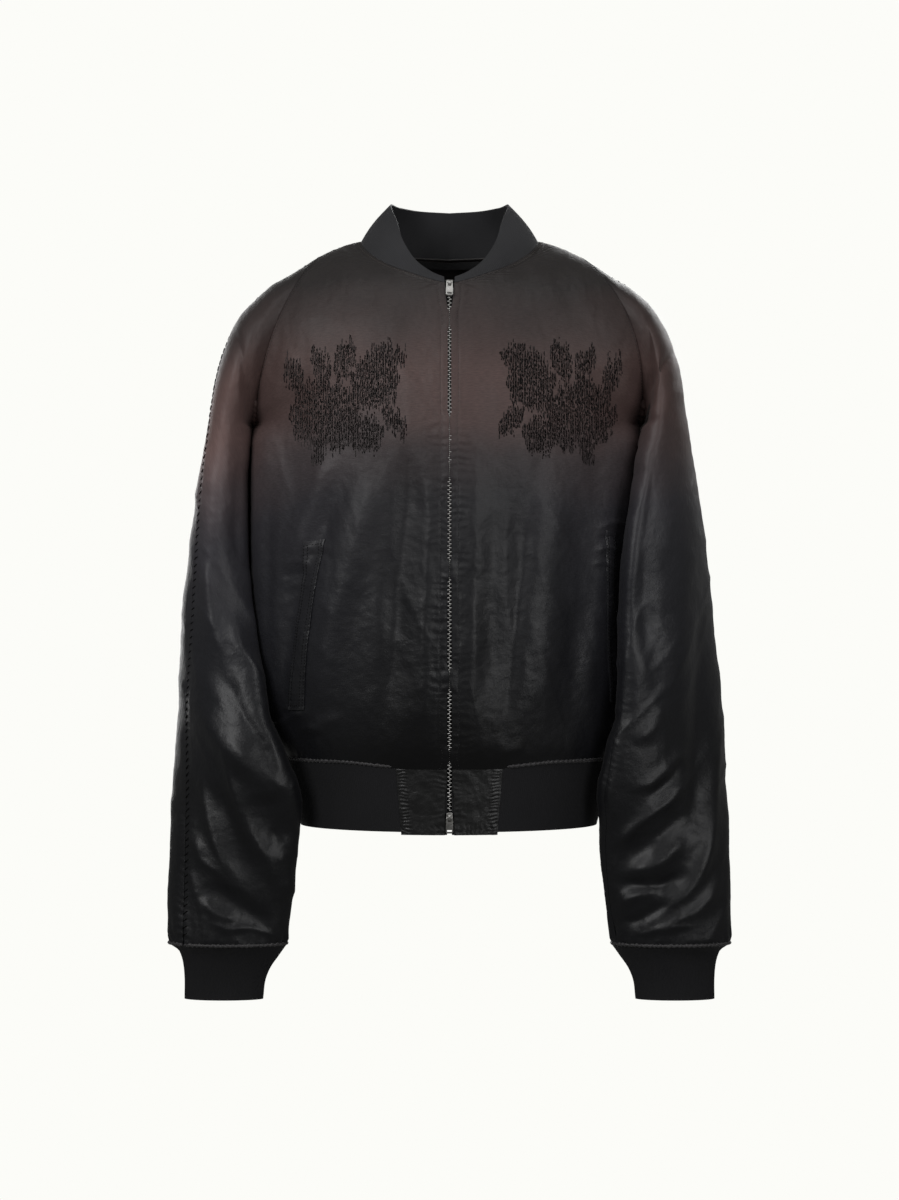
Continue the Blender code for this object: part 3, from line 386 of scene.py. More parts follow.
SLEEVE_FRONT_CREASES = creases(Cloth.SLEEVE, Face.FRONT, (
    (((228, 318), (236, 338), (244, 364), (250, 394), (255, 416)), -4.5, (6, 7), 0.5),
    (((222, 345), (226, 372), (236, 400), (246, 430)), 1.2, (10, 10), 0.1),
    (((249, 440), (246, 480), (240, 530), (244, 575)), -4.5, (10, 9), 0.0),
    (((222, 450), (216, 500), (210, 560)), 3.0, (12, 12), 0.0),
    (((206, 550), (212, 610), (222, 647), (239, 662)), 4.2, (6, 8), 0.5),
    (((228, 600), (240, 645), (254, 668), (262, 700), (273, 742)), 5.0, (7, 9), 0.3),
    (((212, 655), (232, 695), (252, 735), (272, 790)), -6.5, (13, 13), 0.15),
    (((196, 690), (216, 735), (238, 757), (258, 778), (270, 812)), 5.5, (11, 13), 0.25),
    (((262, 790), (270, 822), (284, 848)), -5.5, (10, 11), 0.2),
    (((224, 752), (239, 798), (252, 834), (270, 864), (285, 908)), 5.0, (8, 8), 0.4),
    (((216, 775), (228, 820), (244, 858), (264, 895)), -4.5, (8, 9), 0.1),
    (((200, 765), (207, 808), (217, 846), (231, 871), (248, 887)), 3.8, (5, 6), 0.6),
    (((196, 828), (202, 858), (217, 871), (233, 886), (250, 891)), 3.0, (5, 5), 0.7),
    (((204, 880), (226, 898), (250, 912), (276, 926)), -5.0, (10, 12), 0.1),
    (((200, 895), (212, 909), (224, 916), (240, 920)), 3.4, (6, 7), 0.4),
    (((206, 920), (230, 929), (252, 928), (282, 938)), 2.0, (4, 4), 0.5),
    (((272, 845), (286, 868), (294, 905)), 3.5, (8, 8), 0.1),
    (((650, 305), (648, 335), (643, 368), (640, 404)), -4.0, (6, 7), 0.5),
    (((682, 340), (668, 362), (654, 381), (640, 402)), -5.0, (4, 7), 0.7),
    (((676, 380), (664, 404), (650, 424)), 1.8, (9, 9), 0.1),
    (((662, 425), (654, 500), (646, 580), (650, 650), (655, 690)), -6.5, (14, 13), 0.05),
    (((694, 470), (684, 570), (677, 650), (672, 716)), 6.0, (16, 15), 0.05),
    (((640, 470), (632, 540), (628, 610)), 2.5, (8, 8), 0.0),
    (((706, 585), (702, 650), (700, 715), (697, 790), (688, 856)), -6.0, (10, 9), 0.15),
    (((664, 700), (654, 728), (636, 742)), 3.0, (8, 7), 0.3),
    (((718, 700), (715, 780), (710, 838), (702, 866), (688, 892), (664, 911), (630, 936)), 5.0, (7, 8), 0.45),
    (((724, 862), (712, 893), (696, 911), (674, 922), (640, 934)), 3.6, (7, 8), 0.35),
    (((692, 745), (670, 766), (652, 782), (634, 794)), 3.8, (6, 6), 0.45),
    (((690, 768), (674, 796), (655, 811), (638, 824), (622, 840), (608, 852)), 5.2, (6, 7), 0.5),
    (((683, 756), (668, 782), (645, 800)), -2.8, (5, 5), 0.1),
    (((694, 806), (668, 832), (640, 850), (614, 866)), -5.5, (11, 12), 0.1),
    (((688, 834), (666, 858), (646, 868), (624, 870)), 5.0, (9, 8), 0.3),
    (((690, 866), (668, 884), (640, 886), (612, 880)), -5.5, (7, 8), 0.3),
    (((664, 888), (640, 894), (614, 906)), 4.4, (7, 7), 0.3),
    (((676, 900), (654, 912), (634, 921), (618, 918)), -3.4, (6, 6), 0.2),
    (((700, 925), (665, 929), (630, 937)), 1.8, (4, 4), 0.4),
))
SLEEVE_BACK_CREASES = creases(Cloth.SLEEVE, Face.BACK, (
    (((232, 320), (246, 360), (258, 405)), -5.5, (8, 9), 0.4),
    (((215, 420), (228, 470), (250, 510)), 4.0, (11, 12), 0.1),
    (((206, 500), (228, 545), (256, 580)), -6.0, (12, 13), 0.2),
    (((198, 560), (224, 600), (258, 625)), 5.0, (10, 12), 0.3),
    (((194, 615), (222, 650), (262, 668)), -5.5, (11, 11), 0.2),
    (((190, 668), (218, 715), (262, 742)), 5.5, (10, 12), 0.3),
    (((188, 735), (216, 790), (262, 838)), -5.5, (12, 12), 0.15),
    (((188, 800), (214, 848), (262, 886)), 4.6, (8, 9), 0.4),
    (((190, 868), (222, 898), (268, 916)), -4.0, (9, 9), 0.2),
    (((196, 905), (230, 922), (272, 930)), 2.6, (5, 6), 0.4),
    (((664, 325), (652, 362), (640, 405)), -5.5, (9, 8), 0.4),
    (((688, 420), (672, 470), (648, 508)), 4.0, (12, 11), 0.1),
    (((700, 500), (676, 545), (646, 580)), -6.0, (13, 12), 0.2),
    (((706, 565), (680, 604), (642, 630)), 5.0, (12, 10), 0.3),
    (((712, 625), (684, 664), (640, 690)), -5.5, (11, 11), 0.2),
    (((716, 690), (686, 732), (640, 760)), 5.2, (12, 10), 0.3),
    (((718, 760), (690, 810), (642, 850)), -5.5, (12, 12), 0.15),
    (((720, 820), (690, 862), (640, 893)), 4.4, (9, 8), 0.4),
    (((718, 880), (686, 905), (636, 920)), -4.0, (9, 9), 0.2),
))
ALL_CREASES = BODY_FRONT_CREASES + BODY_BACK_CREASES + SLEEVE_FRONT_CREASES + SLEEVE_BACK_CREASES


# ---------------------------------------------------------------- cloth meshes


@dataclass
class Patch:
    """A grid of points on a cloth's outer face, with the way out of each."""

    points: Array
    normals: Array

    @property
    def across(self) -> Array:
        """Each point's distance along its row from the first column."""
        steps = np.linalg.norm(np.diff(self.points, axis=1), axis=2)
        return np.concatenate([np.zeros((len(steps), 1)), np.cumsum(steps, axis=1)], axis=1)

    @property
    def along(self) -> Array:
        """Each point's distance along its column from the first row."""
        steps = np.linalg.norm(np.diff(self.points, axis=0), axis=2)
        return np.concatenate([np.zeros((1, steps.shape[1])), np.cumsum(steps, axis=0)])

    @property
    def to_last_column(self) -> Array:
        """Each point's distance along its row from the last column."""
        across = self.across
        return across[:, -1:] - across

    @property
    def to_last_row(self) -> Array:
        """Each point's distance along its column from the last row."""
        along = self.along
        return along[-1:] - along

    def inset(self, rows: Array, distance: float, from_last: bool = False) -> tuple[Array, Array]:
        """A line down these rows at a distance from the first or the last column, with its ways out."""
        off, sign = (self.to_last_column, -1) if from_last else (self.across, 1)
        columns = [np.interp(sign * distance, sign * row, np.arange(len(row))) for row in off[rows]]
        return self.at(rows.astype(float), np.array(columns))

    def raised(self, rise: Array | float) -> "Patch":
        """The patch with its points moved out by this much."""
        rise = np.broadcast_to(np.asarray(rise, float), self.points.shape[:2])
        return Patch(self.points + self.normals * rise[..., None], self.normals)

    def folded(self, cloth: Cloth, keep: Array | float = 1.0) -> Array:
        """How far the folds of this cloth move the points.

        Args:
            cloth: Whose folds to use.
            keep: Share of the folds that stays, for each point.

        Returns:
            The rise of each point, in metres.
        """
        rise = np.zeros(self.points.shape[:2])
        for face in Face:
            turned = self.normals[..., 1] * face.value
            facing = soft_step(-0.30, 0.35, turned)
            if facing.max() > 0:
                seen = in_picture(self.points, face)
                made = [c for c in ALL_CREASES if c.cloth is cloth and c.face is face]
                moved = sum(crease.height(seen) for crease in made)
                rise += facing * moved * np.where(moved < 0, soft_step(0.0, 0.55, turned), 1.0)
        return rise * keep * MM

    def at(self, row: Array, column: Array) -> tuple[Array, Array]:
        """Points between the grid's own.

        Args:
            row: Rows, with shares of a step.
            column: Columns, with shares of a step.

        Returns:
            The points and the ways out there.
        """
        rows, columns = self.points.shape[:2]
        row = np.clip(row, 0, rows - 1.001)
        column = np.clip(column, 0, columns - 1.001)
        r, c = row.astype(int), column.astype(int)
        up, right = (row - r)[..., None], (column - c)[..., None]
        mixed = []
        for source in (self.points, self.normals):
            low = source[r, c] * (1 - right) + source[r, c + 1] * right
            high = source[r + 1, c] * (1 - right) + source[r + 1, c + 1] * right
            mixed.append(low * (1 - up) + high * up)
        return mixed[0], unit(mixed[1])

    def surface(self) -> BVHTree:
        """The outer face as a tree that rays can meet."""
        rows, columns = self.points.shape[:2]
        quads = grid_quads(np.arange(rows * columns).reshape(rows, columns))
        return BVHTree.FromPolygons(self.points.reshape(-1, 3).tolist(), quads.tolist())


def put_in_scene(name: str, data: bpy.types.ID) -> Object:
    """A new object at the origin with this data."""
    made = bpy.data.objects.new(name, data)
    bpy.context.scene.collection.objects.link(made)
    return made


def new_object(name: str, verts: Array, faces: list, materials: Sequence[Material],
               index: Sequence[int] | None = None, uvs: Array | None = None) -> Object:
    """Makes a mesh object with its place in its mesh.

    Args:
        name: The piece's name.
        verts: Its points.
        faces: Its faces, as lists of point numbers.
        materials: Its materials.
        index: The material of each face.
        uvs: A flat place for each point, in metres.

    Returns:
        The object.
    """
    mesh = bpy.data.meshes.new(name)
    mesh.from_pydata(verts.tolist(), [], faces)
    for material in materials:
        mesh.materials.append(material)
    if index is not None:
        mesh.polygons.foreach_set("material_index", np.asarray(index, np.int32))
    if uvs is not None:
        layer = mesh.uv_layers.new(name="cloth")
        corner = np.zeros(len(mesh.loops), np.int32)
        mesh.loops.foreach_get("vertex_index", corner)
        layer.data.foreach_set("uv", uvs[corner].astype(np.float32).ravel())
    mesh.update()
    made = put_in_scene(name, mesh)
    mesh.shade_smooth()
    return made


def shell(name: str, patches: Sequence[Patch], wall: float, outside: Material,
          inside: Material | None = None, open_rows: int = 0, closed: bool = False) -> Object:
    """A closed thin shell of cloth, with a plainer inner face.

    Args:
        name: The piece's name.
        patches: One or two patches with odd numbers of rows and columns.
        wall: The cloth's thickness.
        outside: Material of the outer face and the edges.
        inside: Material of the inner face, if it has its own.
        open_rows: Rows of the first column where two patches join without an edge.
        closed: Whether each row is a ring whose last point is its first.

    Returns:
        The piece.
    """
    verts, faces, index, uvs, count = [], [], [], [], 0
    for patch in patches:
        rows, columns = patch.points.shape[:2]
        inner = (patch.points - patch.normals * wall)[::2, ::2]
        outer_id = count + np.arange(rows * columns).reshape(rows, columns)
        inner_id = count + rows * columns + np.arange(inner.shape[0] * inner.shape[1]).reshape(inner.shape[:2])
        count += rows * columns + inner_id.size
        flat = np.stack([patch.across, patch.along], axis=-1)
        verts += [patch.points.reshape(-1, 3), inner.reshape(-1, 3)]
        uvs += [flat.reshape(-1, 2), flat[::2, ::2].reshape(-1, 2)]
        cell = np.cross(patch.points[1, 1] - patch.points[0, 0], patch.points[1, 0] - patch.points[0, 1])
        turned = float(cell @ patch.normals[0, 0]) > 0
        for ids, back in ((outer_id, False), (inner_id, True)):
            quads = grid_quads(ids)
            faces += (quads if turned != back else quads[:, ::-1]).tolist()
            index += [int(back and inside is not None)] * len(quads)
        edge = [(0, c) for c in range(columns)] + [(r, columns - 1) for r in range(1, rows)]
        edge += [(rows - 1, c) for c in range(columns - 2, -1, -1)] + [(r, 0) for r in range(rows - 2, -1, -1)]
        for a, b, c in zip(edge[::2], edge[1::2], edge[2::2]):
            along_side = a[1] == c[1] and a[1] in (0, columns - 1)
            if (closed and along_side) or (a[1] == c[1] == 0 and max(a[0], c[0]) <= open_rows):
                continue
            rim = [int(outer_id[a]), int(outer_id[b]), int(outer_id[c]),
                   int(inner_id[c[0] // 2, c[1] // 2]), int(inner_id[a[0] // 2, a[1] // 2])]
            faces.append(rim[::-1] if turned else rim)
            index.append(0)
    materials = [outside] if inside is None else [outside, inside]
    made = new_object(name, np.concatenate(verts), faces, materials, index, np.concatenate(uvs))
    if closed or open_rows:
        with_edit(made, lambda: bpy.ops.mesh.remove_doubles(threshold=0.00002))
    made.data.set_sharp_from_angle(angle=math.radians(55))
    return made


def alone(piece: Object) -> None:
    """Selects this piece and nothing else."""
    bpy.ops.object.select_all(action="DESELECT")
    piece.select_set(True)
    bpy.context.view_layer.objects.active = piece


def with_edit(piece: Object, work: Callable[[], object]) -> None:
    """Runs edit-mode work on all of a piece's mesh."""
    alone(piece)
    bpy.ops.object.mode_set(mode="EDIT")
    bpy.ops.mesh.select_all(action="SELECT")
    work()
    bpy.ops.object.mode_set(mode="OBJECT")


def apply_all(piece: Object) -> None:
    """Applies the piece's modifiers and its place, so both are in its mesh."""
    alone(piece)
    for modifier in list(piece.modifiers):
        bpy.ops.object.modifier_apply(modifier=modifier.name)
    bpy.ops.object.transform_apply(location=True, rotation=True, scale=True)


def frames(ways: Array, outs: Array, sizes: Array) -> Array:
    """Axes for copies of a small part.

    Args:
        ways: Where each copy's z points.
        outs: Roughly where each copy's y points away from the cloth.
        sizes: Its size along x, y and z.

    Returns:
        A 3 by 3 matrix for each.
    """
    z = unit(ways)
    x = unit(np.cross(outs, z))
    y = np.cross(z, x)
    return np.stack([x, y, z], axis=-1) * sizes[:, None, :]


def copies(name: str, one: Object, places: Array, axes: Array,
           material: Material) -> Object:
    """Joins many copies of a small part into one mesh, and takes the original away.

    Args:
        name: The new piece's name.
        one: The part, modelled once about the origin.
        places: Where each copy goes.
        axes: Each copy's axes.
        material: The copies' material.

    Returns:
        The joined piece.
    """
    points = np.array([v.co for v in one.data.vertices])
    polygons = [list(p.vertices) for p in one.data.polygons]
    verts = np.einsum("nij,kj->nki", axes, points) + places[:, None, :]
    count = len(points)
    faces = [[corner + count * n for corner in polygon] for n in range(len(places)) for polygon in polygons]
    bpy.data.objects.remove(one, do_unlink=True)
    return new_object(name, verts.reshape(-1, 3), faces, [material])


# ---------------------------------------------------------------- finishes


@dataclass(frozen=True)
class Wire:
    """One output of a node, which can be reckoned with."""

    nodes: Nodes
    socket: NodeSocket

    def __add__(self, other: Wire | float) -> Wire:
        """This plus the other."""
        return self.nodes.math("ADD", self, other)

    def __sub__(self, other: Wire | float) -> Wire:
        """This less the other."""
        return self.nodes.math("SUBTRACT", self, other)

    def __mul__(self, other: Wire | float) -> Wire:
        """This times the other."""
        return self.nodes.math("MULTIPLY", self, other)

    def __truediv__(self, other: Wire | float) -> Wire:
        """This over the other."""
        return self.nodes.math("DIVIDE", self, other)


@dataclass
class Nodes:
    """Short calls for building a node tree."""

    tree: NodeTree

    def fill(self, node: bpy.types.Node, inputs: dict) -> None:
        """Gives each input of a node its wire or its value."""
        for key, value in inputs.items():
            if isinstance(value, Wire):
                self.tree.links.new(value.socket, node.inputs[key])
            else:
                node.inputs[key].default_value = value

    def add(self, kind: str, inputs: dict | None = None, **settings: object) -> dict[str, Wire]:
        """Adds a node.

        Args:
            kind: Its type without the ShaderNode prefix.
            inputs: Wire or value for each input.
            settings: The node's own settings.

        Returns:
            Its outputs by name.
        """
        node = self.tree.nodes.new("ShaderNode" + kind)
        for key, value in settings.items():
            setattr(node, key, value)
        self.fill(node, inputs or {})
        return {output.name: Wire(self, output) for output in node.outputs}

    def math(self, operation: str, first: Wire | float, second: Wire | float = 0.0) -> Wire:
        """What a math node makes of two wires or values."""
        return self.add("Math", {0: first, 1: second}, operation=operation)["Value"]

    def noise(self, place: Wire, scale: Wire | float, detail: float) -> Wire:
        """Noise from 0 to 1."""
        return self.add("TexNoise", {"Vector": place, "Scale": scale, "Detail": detail})["Fac"]

    def span(self, value: Wire, low: float, high: float) -> Wire:
        """Rises from 0 at low to 1 at high."""
        return self.add("MapRange", {"Value": value, "From Min": low, "From Max": high})["Result"]

    def shaded(self, colour: Wire, share: Wire) -> Wire:
        """A colour times a share."""
        return self.add("VectorMath", {0: colour, "Scale": share}, operation="SCALE")["Vector"]

    def bump(self, height: Wire, distance: float, over: dict | None = None, strength: float = 1.0) -> dict[str, Wire]:
        """The surface's way out with a height on it, over that of another bump if one is given."""
        return self.add("Bump", {"Height": height, "Strength": strength, "Distance": distance, **(over or {})})

    def ramp(self, value: Wire, stops: Sequence[tuple[float, tuple]]) -> Wire:
        """A colour ramp through these stops."""
        node = self.tree.nodes.new("ShaderNodeValToRGB")
        self.fill(node, {"Fac": value})
        elements = node.color_ramp.elements
        for number, (place, colour) in enumerate(stops):
            element = elements[number] if number < 2 else elements.new(place)
            element.position = place
            element.color = (*colour, 1.0)
        return Wire(self, node.outputs["Color"])


def new_group(name: str, inputs: dict[str, tuple[str, float | None]], outputs: dict[str, str]) -> tuple:
    """Starts a shader node group.

    Args:
        name: Its name.
        inputs: Socket kind and default for each input.
        outputs: Socket kind for each output.

    Returns:
        The group's nodes, its inputs as wires, and its output node.
    """
    group = bpy.data.node_groups.new(name, "ShaderNodeTree")
    for label, (kind, default) in inputs.items():
        socket = group.interface.new_socket(name=label, in_out="INPUT", socket_type="NodeSocket" + kind)
        if default is not None:
            socket.default_value = default
    for label, kind in outputs.items():
        group.interface.new_socket(name=label, in_out="OUTPUT", socket_type="NodeSocket" + kind)
    nodes = Nodes(group)
    start = group.nodes.new("NodeGroupInput")
    return nodes, {label: Wire(nodes, start.outputs[label]) for label in inputs}, group.nodes.new("NodeGroupOutput")


@dataclass(frozen=True)
class Weave:
    """Threads of a weave as a height, from the cloth's flat place in metres."""

    twill: float = 0.35
    weft: float = 0.15
    middle: float = 0.5

    def group(self) -> NodeTree:
        """Builds the group."""
        nodes, given, end = new_group(
            "weave", {"Flat": ("Vector", None), "Thread": ("Float", 0.0005), "Slant": ("Float", 1.0)},
            {"Height": "Float"})
        flat = nodes.add("SeparateXYZ", {0: given["Flat"]})
        across, along = flat["X"] / given["Thread"], flat["Y"] / given["Thread"]
        twill = nodes.math("SINE", (across + along * given["Slant"]) * math.pi)
        weft = nodes.math("SINE", along * (2 * math.pi))
        nodes.fill(end, {"Height": twill * self.twill + weft * self.weft + self.middle})
        return nodes.tree


@dataclass(frozen=True)
class Washing:
    """Washed cloth: its small crumples as a height, where it is rubbed smooth, and streaks of its weft."""

    coarse: float = 0.5
    fine: float = 0.07
    ridged: float = 0.30
    fine_steps: float = 4.3
    ridged_steps: float = 0.22
    ridges_bent: float = 0.6
    worn_steps: float = 14.0
    streak_steps: tuple[float, float, float] = (170.0, 820.0, 1.0)

    def group(self) -> NodeTree:
        """Builds the group."""
        nodes, given, end = new_group(
            "washed", {"Vector": ("Vector", None), "Flat": ("Vector", None), "Size": ("Float", 0.006)},
            {"Height": "Float", "Worn": "Float", "Streak": "Float"})
        place = given["Vector"]
        step = nodes.math("DIVIDE", 1.0, given["Size"])
        coarse, fine = nodes.noise(place, step, 3.0), nodes.noise(place, step * self.fine_steps, 2.0)
        ridged = nodes.add("TexNoise", {"Vector": place, "Scale": step * self.ridged_steps, "Detail": 3.0,
                                        "Distortion": self.ridges_bent}, noise_type="RIDGED_MULTIFRACTAL")["Fac"]
        drawn = nodes.add("VectorMath", {0: given["Flat"], 1: self.streak_steps}, operation="MULTIPLY")["Vector"]
        nodes.fill(end, {"Height": coarse * self.coarse + fine * self.fine + ridged * self.ridged,
                         "Worn": nodes.noise(place, self.worn_steps, 3.0), "Streak": nodes.noise(drawn, 1.0, 2.0)})
        return nodes.tree


@dataclass(frozen=True)
class SunFade:
    """Colour of the satin by its level, 0 at the neck and 1 at 0.8 m below, with uneven edges; brown over the chest and
    darker towards the hem, with painted light on the right sleeve and the flanks and painted shade down the middle.
    """

    full_drop: float = -0.8
    uneven_steps: float = 5.5
    uneven: float = 0.16
    right_sleeve_x: tuple[float, float] = (-0.20, -0.26)
    sleeve_lift: float = 0.05
    blotch_steps: float = 26.0
    blotch: tuple[float, float] = (0.34, 0.83)
    bleach_starts: tuple[float, float] = (0.08, 0.16)
    bleach_ends: tuple[float, float] = (0.40, 0.31)
    bleach: float = 1.1
    middle_x_squared: tuple[float, float] = (0.0196, 0.0025)
    middle_darker: float = 0.78
    below_chest: tuple[float, float] = (0.20, 0.36)
    above_hem: tuple[float, float] = (0.72, 0.56)
    flank_lighter: float = 0.42
    glossy: tuple[float, float] = (0.24, 0.52)
    # Colour by level: olive black at the neck, brown over the chest, darker towards the hem.
    stops: tuple = (
        (0.00, (0.024, 0.0210, 0.0200)),
        (0.07, (0.029, 0.0245, 0.0240)),
        (0.12, (0.058, 0.041, 0.039)),
        (0.17, (0.102, 0.064, 0.059)),
        (0.24, (0.100, 0.064, 0.060)),
        (0.30, (0.055, 0.043, 0.045)),
        (0.37, (0.027, 0.0255, 0.0300)),
        (0.45, (0.0165, 0.0165, 0.0200)),
        (0.60, (0.0090, 0.0092, 0.0115)),
        (0.75, (0.0066, 0.0068, 0.0082)),
    )

    def group(self) -> NodeTree:
        """Builds the group."""
        nodes, given, end = new_group(
            "sun_fade", {"Vector": ("Vector", None), "Depth": ("Float", 1.0)}, {"Color": "Color", "Gloss": "Float"})
        vector = given["Vector"]
        place = nodes.add("SeparateXYZ", {0: vector})
        sleeve = nodes.span(place["X"], *self.right_sleeve_x)
        uneven = (nodes.noise(vector, self.uneven_steps, 3.0) - 0.5) * self.uneven
        level = place["Z"] / self.full_drop + uneven - sleeve * self.sleeve_lift
        strength, least = self.blotch
        shade = (nodes.noise(vector, self.blotch_steps, 4.0) * strength + least) * given["Depth"]
        # Painted light: the right sleeve, on the side of the key lamp, is made lighter within the brown band.
        painted_lit_sleeve = nodes.span(level, *self.bleach_starts) * nodes.span(level, *self.bleach_ends)
        painted_lit_sleeve = painted_lit_sleeve * (sleeve * self.bleach)
        # Painted shade and light below the chest: the middle is darkened, and the sides away from it are lightened down
        # to near the hem.
        middle = nodes.span(place["X"] * place["X"], *self.middle_x_squared)
        flank = nodes.span(level, *self.above_hem) * self.flank_lighter + 1.0
        painted_side_light = (flank - middle * self.middle_darker - 1.0) * nodes.span(level, *self.below_chest) + 1.0
        colour = nodes.shaded(nodes.ramp(level, self.stops), shade * (painted_lit_sleeve + 1.0) * painted_side_light)
        nodes.fill(end, {"Color": colour, "Gloss": nodes.span(level, *self.glossy)})
        return nodes.tree


@dataclass
class Groups:
    """The node groups that the finishes share."""

    weave: NodeTree = field(default_factory=Weave().group)
    washed: NodeTree = field(default_factory=Washing().group)
    fade: NodeTree = field(default_factory=SunFade().group)


def new_material(name: str) -> tuple[Material, Nodes, bpy.types.Node]:
    """A material, the builder of its nodes, and its shader."""
    material = bpy.data.materials.new(name)
    material.use_nodes = True
    return material, Nodes(material.node_tree), material.node_tree.nodes["Principled BSDF"]


@dataclass(frozen=True)
class ClothFinish:
    """A woven or knitted cloth, or a thread; without a colour it is the satin, coloured by its level with painted light
    and shade.
    """

    name: str
    colour: tuple[float, float, float] | None
    roughness: float
    sheen: float
    thread: float = 0.0004
    washed: float = 0.002
    washed_depth: float = 0.00002
    weave_depth: float = 0.00002
    depth: float = 1.0
    specular: float = 0.5
    uneven: float = 0.10
    gloss: float = 0.10
    streak: tuple[float, float] = (0.9, 0.55)
    worn_shades: tuple[float, float] = (0.78, 1.22)

    def make(self, groups: Groups) -> Material:
        """Builds the material.

        Args:
            groups: The shared node groups.

        Returns:
            The material.
        """
        material, nodes, shader = new_material(self.name)
        place, flat = nodes.add("TexCoord")["Object"], nodes.add("UVMap", uv_map="cloth")["UV"]
        weave = nodes.add("Group", {"Flat": flat, "Thread": self.thread}, node_tree=groups.weave)
        washed = nodes.add("Group", {"Vector": place, "Flat": flat, "Size": self.washed}, node_tree=groups.washed)
        rough = washed["Worn"] * (self.uneven * 2) + (self.roughness - self.uneven)
        if self.colour is None:
            # The satin's colour by level, with painted light on the right sleeve and flanks and painted shade down the
            # middle.
            fade = nodes.add("Group", {"Vector": place, "Depth": self.depth}, node_tree=groups.fade)
            strength, least = self.streak
            colour = nodes.shaded(fade["Color"], washed["Streak"] * strength + least)
            rough = rough - fade["Gloss"] * self.gloss
        else:
            low, high = (tuple(shade * c for c in self.colour) for shade in self.worn_shades)
            colour = nodes.ramp(washed["Worn"], ((0.3, low), (0.7, high)))
        bump = nodes.bump(weave["Height"], self.weave_depth)
        bump = nodes.bump(washed["Streak"], self.weave_depth * 3, bump)
        bump = nodes.bump(washed["Height"], self.washed_depth, bump)
        nodes.fill(shader, {"Base Color": colour, "Roughness": rough, "Sheen Weight": self.sheen,
                            "Sheen Roughness": 0.4, "Specular IOR Level": self.specular, **bump})
        return material


@dataclass(frozen=True)
class MetalFinish:
    """Plated zip metal with fine wear."""

    name: str
    colour: tuple[float, float, float]
    roughness: float
    metallic: float = 1.0
    wear_size: float = 0.0015
    worn_shade: float = 0.72

    def make(self, groups: Groups) -> Material:
        """Builds the material."""
        material, nodes, shader = new_material(self.name)
        place = nodes.add("TexCoord")["Object"]
        wear = nodes.add("Group", {"Vector": place, "Size": self.wear_size}, node_tree=groups.washed)["Height"]
        dark = tuple(self.worn_shade * c for c in self.colour)
        nodes.fill(shader, {"Base Color": nodes.ramp(wear, ((0.3, dark), (0.6, self.colour))),
                            "Roughness": wear * 0.2 + (self.roughness - 0.1), "Metallic": self.metallic,
                            **nodes.bump(wear, 0.00004, strength=0.5)})
        return material


# name, colour, roughness, sheen, then sizes in metres: thread, crumples, their depth, the weave's depth
FINISHES = (
    ClothFinish("satin", None, 0.54, 0.05, 0.00045, 0.006, 0.00080, specular=0.40, gloss=0.13),
    ClothFinish("satin_trim", None, 0.50, 0.05, 0.00045, 0.005, 0.00080, depth=0.85, specular=0.62),
    # Painted highlight: a lighter colour along the rolled seam edges at the hem and the cuffs.
    ClothFinish("worn_seam_edge", (0.034, 0.032, 0.034), 0.50, 0.25, 0.00045, 0.003, 0.00030),
    ClothFinish("lining", (0.030, 0.025, 0.024), 0.34, 0.05, 0.0004, 0.010, 0.0016),
    ClothFinish("rib_knit", (0.0072, 0.0072, 0.0086), 0.80, 0.12, 0.0009, 0.003, 0.0001, 0.00003, specular=0.35),
    ClothFinish("collar_rib_knit", (0.034, 0.034, 0.037), 0.72, 0.15, 0.0009, 0.003, 0.0001, 0.00003, specular=0.35),
    ClothFinish("zip_tape", (0.010, 0.010, 0.011), 0.75, 0.2, 0.0008, 0.003, 0.00005, 0.0001),
    ClothFinish("sewing_thread", (0.012, 0.011, 0.011), 0.50, 0.1),
    ClothFinish("sewing_thread_light", (0.085, 0.072, 0.062), 0.50, 0.1),
    ClothFinish("patch_thread", (0.0022, 0.0019, 0.0019), 0.85, 0.0, specular=0.15),
    ClothFinish("patch_thread_grey", (0.023, 0.0175, 0.0168), 0.62, 0.0, specular=0.4),
    MetalFinish("zip_teeth", (0.97, 0.96, 0.93), 0.34, 0.15),
    MetalFinish("slider_metal", (0.56, 0.55, 0.53), 0.36),
)


@dataclass
class Wardrobe:
    """Every material of the jacket, by its name."""

    groups: Groups = field(default_factory=Groups)

    def __post_init__(self) -> None:
        """Makes them."""
        self.made = {finish.name: finish.make(self.groups) for finish in FINISHES}

    def __getitem__(self, name: str) -> Material:
        """The material of that name."""
        return self.made[name]


# ---------------------------------------------------------------- the jacket's form


